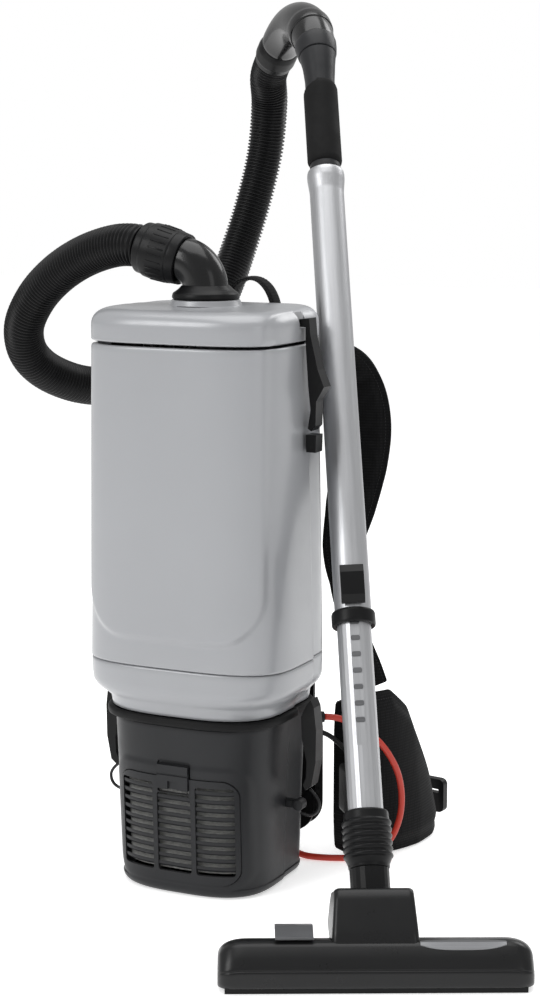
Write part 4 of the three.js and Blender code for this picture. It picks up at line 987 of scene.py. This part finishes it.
# ---------------------------------------------------------------- soft goods
def cushion_section(wide, thick, binding=5.0, sides=56):
    """A padded strap's section: a swollen middle between two thin sewn borders."""
    ring = []
    for k in range(sides):
        angle = 2 * math.pi * k / sides
        u = math.cos(angle)
        u = math.copysign(abs(u) ** 0.55, u) * wide / 2
        edge = wide / 2 - abs(u)
        swell = smoothstep((edge - binding * 0.6) / min(binding * 1.9, wide * 0.2))
        height = math.copysign(min(abs(math.sin(angle)) ** 0.35, 1), math.sin(angle))
        half = (thick * 0.2 + (thick * 0.3) * swell) * height
        ring.append((u, half if abs(math.sin(angle)) > 1e-6 else 0.0))
    return np.array(ring)


def strap_frames(stations, count):
    """Evenly resampled strap stations: centre, width direction, outward direction, width and thickness."""
    stations = np.asarray(stations, float)
    centre = centripetal(stations[:, :3], count)
    run = np.concatenate([[0], np.cumsum(np.linalg.norm(np.diff(stations[:, :3], axis=0), axis=1))])
    values = np.column_stack([np.interp(np.linspace(0, run[-1], count), run, stations[:, k])
                              for k in range(3, stations.shape[1])])
    along = np.gradient(centre, axis=0)
    along /= np.linalg.norm(along, axis=1)[:, None]
    width = values[:, 2:5] - along * np.sum(values[:, 2:5] * along, axis=1)[:, None]
    width /= np.linalg.norm(width, axis=1)[:, None]
    return centre, along, width, np.cross(along, width), values[:, 0], values[:, 1]


def stitch_row(name, line, outs, alongs, body, pitch=3.4):
    """Short thread dashes along a line, lying on the cloth."""
    run = np.concatenate([[0], np.cumsum(np.linalg.norm(np.diff(line, axis=0), axis=1))])
    points, faces = [], []
    for place in np.arange(pitch, run[-1] - pitch, pitch):
        at = np.array([np.interp(place, run, line[:, k]) for k in range(line.shape[1])])
        out = np.array([np.interp(place, run, outs[:, k]) for k in range(line.shape[1])])
        along = np.array([np.interp(place, run, alongs[:, k]) for k in range(line.shape[1])])
        side = np.cross(out, along)
        first = len(points)
        for reach, size in ((-1.15, 0.1), (-0.7, 0.34), (0.7, 0.34), (1.15, 0.1)):
            for a in range(6):
                angle = a * math.pi / 3
                around = side * math.cos(angle) + out * (math.sin(angle) * 0.7 + 0.25)
                points.append(at + along * reach + size * around)
        faces += capped_faces(4, 6, first)
    return outward(mesh_piece(name, mm(points), faces, MATERIALS["thread"], body))


def padded_strap(name, node, stations, body="pack", count=110, binding=5.0, pads=True, channels=()):
    centre, along, width, out, wide, thick = strap_frames(stations, count)
    rings = []
    run = np.concatenate([[0], np.cumsum(np.linalg.norm(np.diff(centre, axis=0), axis=1))])
    for i in range(count):
        swell = 1.0
        for channel in channels:
            swell = min(swell, 0.72 + 0.28 * smoothstep(abs(run[i] / run[-1] - channel) * run[-1] / 7))
        puff = 1 + 0.03 * math.sin(run[i] * 0.21 + 1.3) if pads else 1
        section = cushion_section(wide[i], thick[i] * swell * puff, min(binding, wide[i] * 0.15))
        rings.append(mm(centre[i] + np.outer(section[:, 0], width[i]) + np.outer(section[:, 1], out[i])))
    piece = lofted(name, rings, MATERIALS["pack_cloth"], body)
    add_modifier(piece, "SUBSURF", levels=1, render_levels=1)
    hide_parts(node)
    for edge, sign in (("outer", 1), ("inner", -1)):
        offset = sign * (wide / 2 - np.minimum(binding, wide * 0.15))
        for face, way in (("front", 1), ("rear", -1)):
            line = centre + width * offset[:, None] + out * (way * (thick * 0.225 + 0.1))[:, None]
            stitch_row(f"{name}_stitch_{edge}_{face}", line, out * way, along, body)
    return piece


def cushion(name, node, low, high, corner, channels):
    """A crowned back cushion on its plate, with a bound edge and sewn channels across it."""
    (x0, y0, z0), (x1, y1, z1) = low, high
    middle = np.array([(x0 + x1) / 2, (z0 + z1) / 2])
    rings = []
    for inset, depth in ((3, 0), (0.8, 0.6), (0, 2.2), (0, 3.8), (0.7, 5.2), (2.4, 6.0), (5, 6.2)):
        outline = evenly(rounded_rectangle(x0 + inset, z0 + inset, x1 - inset, z1 - inset,
                                           corner - inset * 0.6), 160)
        rings.append(mm([(x, y0 + depth, z) for x, z in outline]))
    outline = evenly(rounded_rectangle(x0 + 5, z0 + 5, x1 - 5, z1 - 5, corner - 3), 160)
    full = y1 - y0
    for t in np.concatenate([np.linspace(0.03, 0.3, 12), np.linspace(0.36, 0.97, 16)]):
        ring = []
        for x, z in outline:
            px, pz = middle[0] + (x - middle[0]) * (1 - t), middle[1] + (z - middle[1]) * (1 - t)
            edge = min(px - x0, x1 - px, pz - z0, z1 - pz) - 5
            depth = 6.2 + (full - 6.2) * (1 - (1 - min(max(edge, 0) / 22, 1)) ** 2) ** 0.5
            for channel in channels:
                depth -= 5.5 * math.exp(-((pz - channel) / 4.2) ** 2) * smoothstep(edge / 9)
            ring.append((px, y0 + depth, pz))
        rings.append(mm(ring))
    piece = lofted(name, rings, MATERIALS["pad_mesh"], "pack")
    add_modifier(piece, "SUBSURF", levels=1, render_levels=1)
    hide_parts(node)
    border = evenly(rounded_rectangle(x0 + 4, z0 + 4, x1 - 4, z1 - 4, corner - 2.5), 400)
    border = np.vstack([border, border[:1]])
    line = np.column_stack([border[:, 0], np.full(len(border), y0 + 6.3), border[:, 1]])
    along = np.gradient(line, axis=0)
    along /= np.linalg.norm(along, axis=1)[:, None]
    stitch_row(f"{name}_stitch", line, np.tile((0, 1.0, 0), (len(line), 1)), along, "pack")


def hip_wing(side):
    word = "right" if side > 0 else "left"
    stations = np.array([
        [88, 108, 8, 160, 0], [104, 112, 2, 167, 2], [120, 126, 0.8, 170, 6], [131, 150, 0.8, 169, 12],
        [138, 178, 0.8, 146, 16], [140, 206, 2, 100, 17], [138, 228, 7, 62, 14],
    ], float)
    count, sides, thick = 48, 64, 15
    line = centripetal(np.column_stack([stations[:, :2], np.zeros(7)]), count)
    run = np.concatenate([[0], np.cumsum(np.linalg.norm(np.diff(stations[:, :2], axis=0), axis=1))])
    low, high, flare = (np.interp(np.linspace(0, run[-1], count), run, stations[:, k]) for k in (2, 3, 4))
    along = np.gradient(line, axis=0)
    along /= np.linalg.norm(along, axis=1)[:, None]
    out = np.column_stack([along[:, 1], -along[:, 0], np.zeros(count)])
    rings, edges = [], {1: [], -1: []}
    for i in range(count):
        ends = smoothstep(min(i, count - 1 - i) / 4.0) * 0.55 + 0.45
        tall = high[i] - low[i]
        section = cushion_section(tall, thick * ends, 8, sides)
        ring = []
        for u, v in section:
            z = (low[i] + high[i]) / 2 + u
            lean = flare[i] * (1 - np.clip((z - low[i]) / tall, 0, 1))
            ring.append(line[i] + out[i] * (v + lean) + np.array([0, 0, z]))
        ring = np.array(ring)
        ring[:, 0] *= side
        rings.append(mm(ring))
        for way in (1, -1):
            z = high[i] - 8
            stand = way * (thick * ends * 0.225 + 0.1) + flare[i] * 8 / tall
            point = line[i] + out[i] * stand + np.array([0, 0, z])
            edges[way].append(point * (side, 1, 1))
    wing = lofted(f"hip_pad_{word}", rings, MATERIALS["pack_cloth"], "pack")
    add_modifier(wing, "SUBSURF", levels=1, render_levels=1)
    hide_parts(f"hip_wing_{word}")
    for way, face in ((1, "outer"), (-1, "inner")):
        line_s = np.array(edges[way])[2:-2]
        grad = np.gradient(line_s, axis=0)
        grad /= np.linalg.norm(grad, axis=1)[:, None]
        stitch_row(f"hip_pad_{word}_stitch_{face}", line_s, (out * way * (side, 1, 1))[2:-2], grad, "pack")


def harness():
    for side in (1, -1):
        word = "right" if side > 0 else "left"
        stations = [
            [36, 118, 492, 58, 10], [38, 134, 508, 60, 13], [47, 156, 511, 62, 14], [62, 176, 497, 63, 14],
            [75, 189, 468, 63, 14], [81, 193, 432, 62, 14], [79, 190, 392, 60, 14], [73, 182, 348, 54, 13],
            [68, 172, 306, 42, 9], [72, 163, 272, 25, 3.5], [90, 156, 225, 25, 3], [110, 150, 188, 25, 3],
            [118, 147, 171.5, 25, 3],
        ]
        full = [[side * x, y, z, wide, thick, side, 0.55 if i > 8 else 0.12, 0]
                for i, (x, y, z, wide, thick) in enumerate(stations)]
        padded_strap(f"shoulder_pad_{word}", f"shoulder_strap_{word}", full, count=150,
                     channels=(0.12, 0.24, 0.36, 0.48))
        hip_wing(side)
    grip = [[27, 101, 508], [28, 101, 535], [26, 101, 560], [18, 101, 577], [7, 101, 585],
            [-7, 101, 585], [-18, 101, 577], [-26, 101, 560], [-28, 101, 535], [-27, 101, 508]]
    padded_strap("carry_webbing", "carry_handle", [[*point, 24, 4, 0, 1, 0] for point in grip], count=60,
                 binding=2.6, pads=False)
    cushion("back_cushion", "back_pad", (-68, 98, 215), (68, 116, 485), 28, (305, 395))
    cushion("lumbar_cushion", "lumbar_pad", (-79, 98, 30), (79, 120, 160), 26, (95,))


body_skin()
lid_skin()
dish_skin()
gasket_skin()
base_skin()
exhaust_grille()
inlet_pieces()
handle_pieces()
wand_pieces()
nozzle_pieces()
harness()

# ---------------------------------------------------------------- carried-over CAD nodes
SLOT_OF = {part["node"]: part["material_slot"] for part in frame["record"]["subparts"]}
WIDE_EDGES = {"nozzle_pedal": 2.2, "lock_button": 1.2, "lower_clip_right": 1.4, "lower_clip_left": 1.4,
              "upper_clip_right": 1.2, "upper_clip_left": 1.2, "switch_box": 2.0}
FINISH_OF = {"neck_housing": "nozzle_plastic", "nozzle_pedal": "pedal_metal",
             "lower_clip_right": "black_plastic", "lower_clip_left": "black_plastic"}
for node_name, node in NODES.items():
    node.data.materials.clear()
    node.data.materials.append(MATERIALS[FINISH_OF.get(node_name, SLOT_OF[node_name])])
    soften_edges(node, WIDE_EDGES.get(node_name, 0.6), segments=3)
    sharp_by_angle(node, 32)


# ---------------------------------------------------------------- floor, light and world
def area_light(name, place, target, size, power, colour=(1, 1, 1)):
    light = bpy.data.lights.new(name, "AREA")
    light.shape = "RECTANGLE"
    light.size, light.size_y = size
    light.energy = power
    light.color = colour
    lamp = bpy.data.objects.new(name, light)
    scene.collection.objects.link(lamp)
    lamp.location = place
    lamp.rotation_euler = (Vector(place) - Vector(target)).to_track_quat("Z", "Y").to_euler()
    return lamp


def studio():
    """A plain pale floor under soft light from above, the front and behind."""
    world = bpy.data.worlds.new("studio")
    scene.world = world
    world.use_nodes = True
    tree = world.node_tree
    seen, path = tree.nodes.new("ShaderNodeBackground"), tree.nodes.new("ShaderNodeLightPath")
    mixed = tree.nodes.new("ShaderNodeMixShader")
    tree.nodes["Background"].inputs["Color"].default_value = (1.0, 1.0, 1.0, 1)
    tree.nodes["Background"].inputs["Strength"].default_value = 0.55
    seen.inputs["Color"].default_value = (1.0, 1.0, 1.0, 1)
    tree.links.new(path.outputs["Is Camera Ray"], mixed.inputs[0])
    tree.links.new(tree.nodes["Background"].outputs[0], mixed.inputs[1])
    tree.links.new(seen.outputs[0], mixed.inputs[2])
    tree.links.new(mixed.outputs[0], tree.nodes["World Output"].inputs["Surface"])
    pale = moulded("pale_floor", (0.93, 0.93, 0.93), 0.7, grain_mm=3, spread=0.006,
                   Emission_Color=(1, 1, 1, 1), Emission_Strength=0.5)
    mesh_piece("floor", [(-9, -9, 0), (9, -9, 0), (9, 9, 0), (-9, 9, 0)], [(0, 1, 2, 3)], pale)
    middle = (0.05, 0.05, 0.42)
    area_light("key", (-1.3, -2.2, 2.0), middle, (1.2, 1.6), 34)
    area_light("fill", (2.6, -1.3, 1.3), middle, (1.0, 1.8), 6)
    area_light("back", (0.9, 2.3, 2.0), middle, (1.4, 1.2), 18)
    area_light("top", (0, 0.1, 2.8), middle, (2.2, 2.2), 40)


studio()
scene.view_settings.view_transform = "Standard"
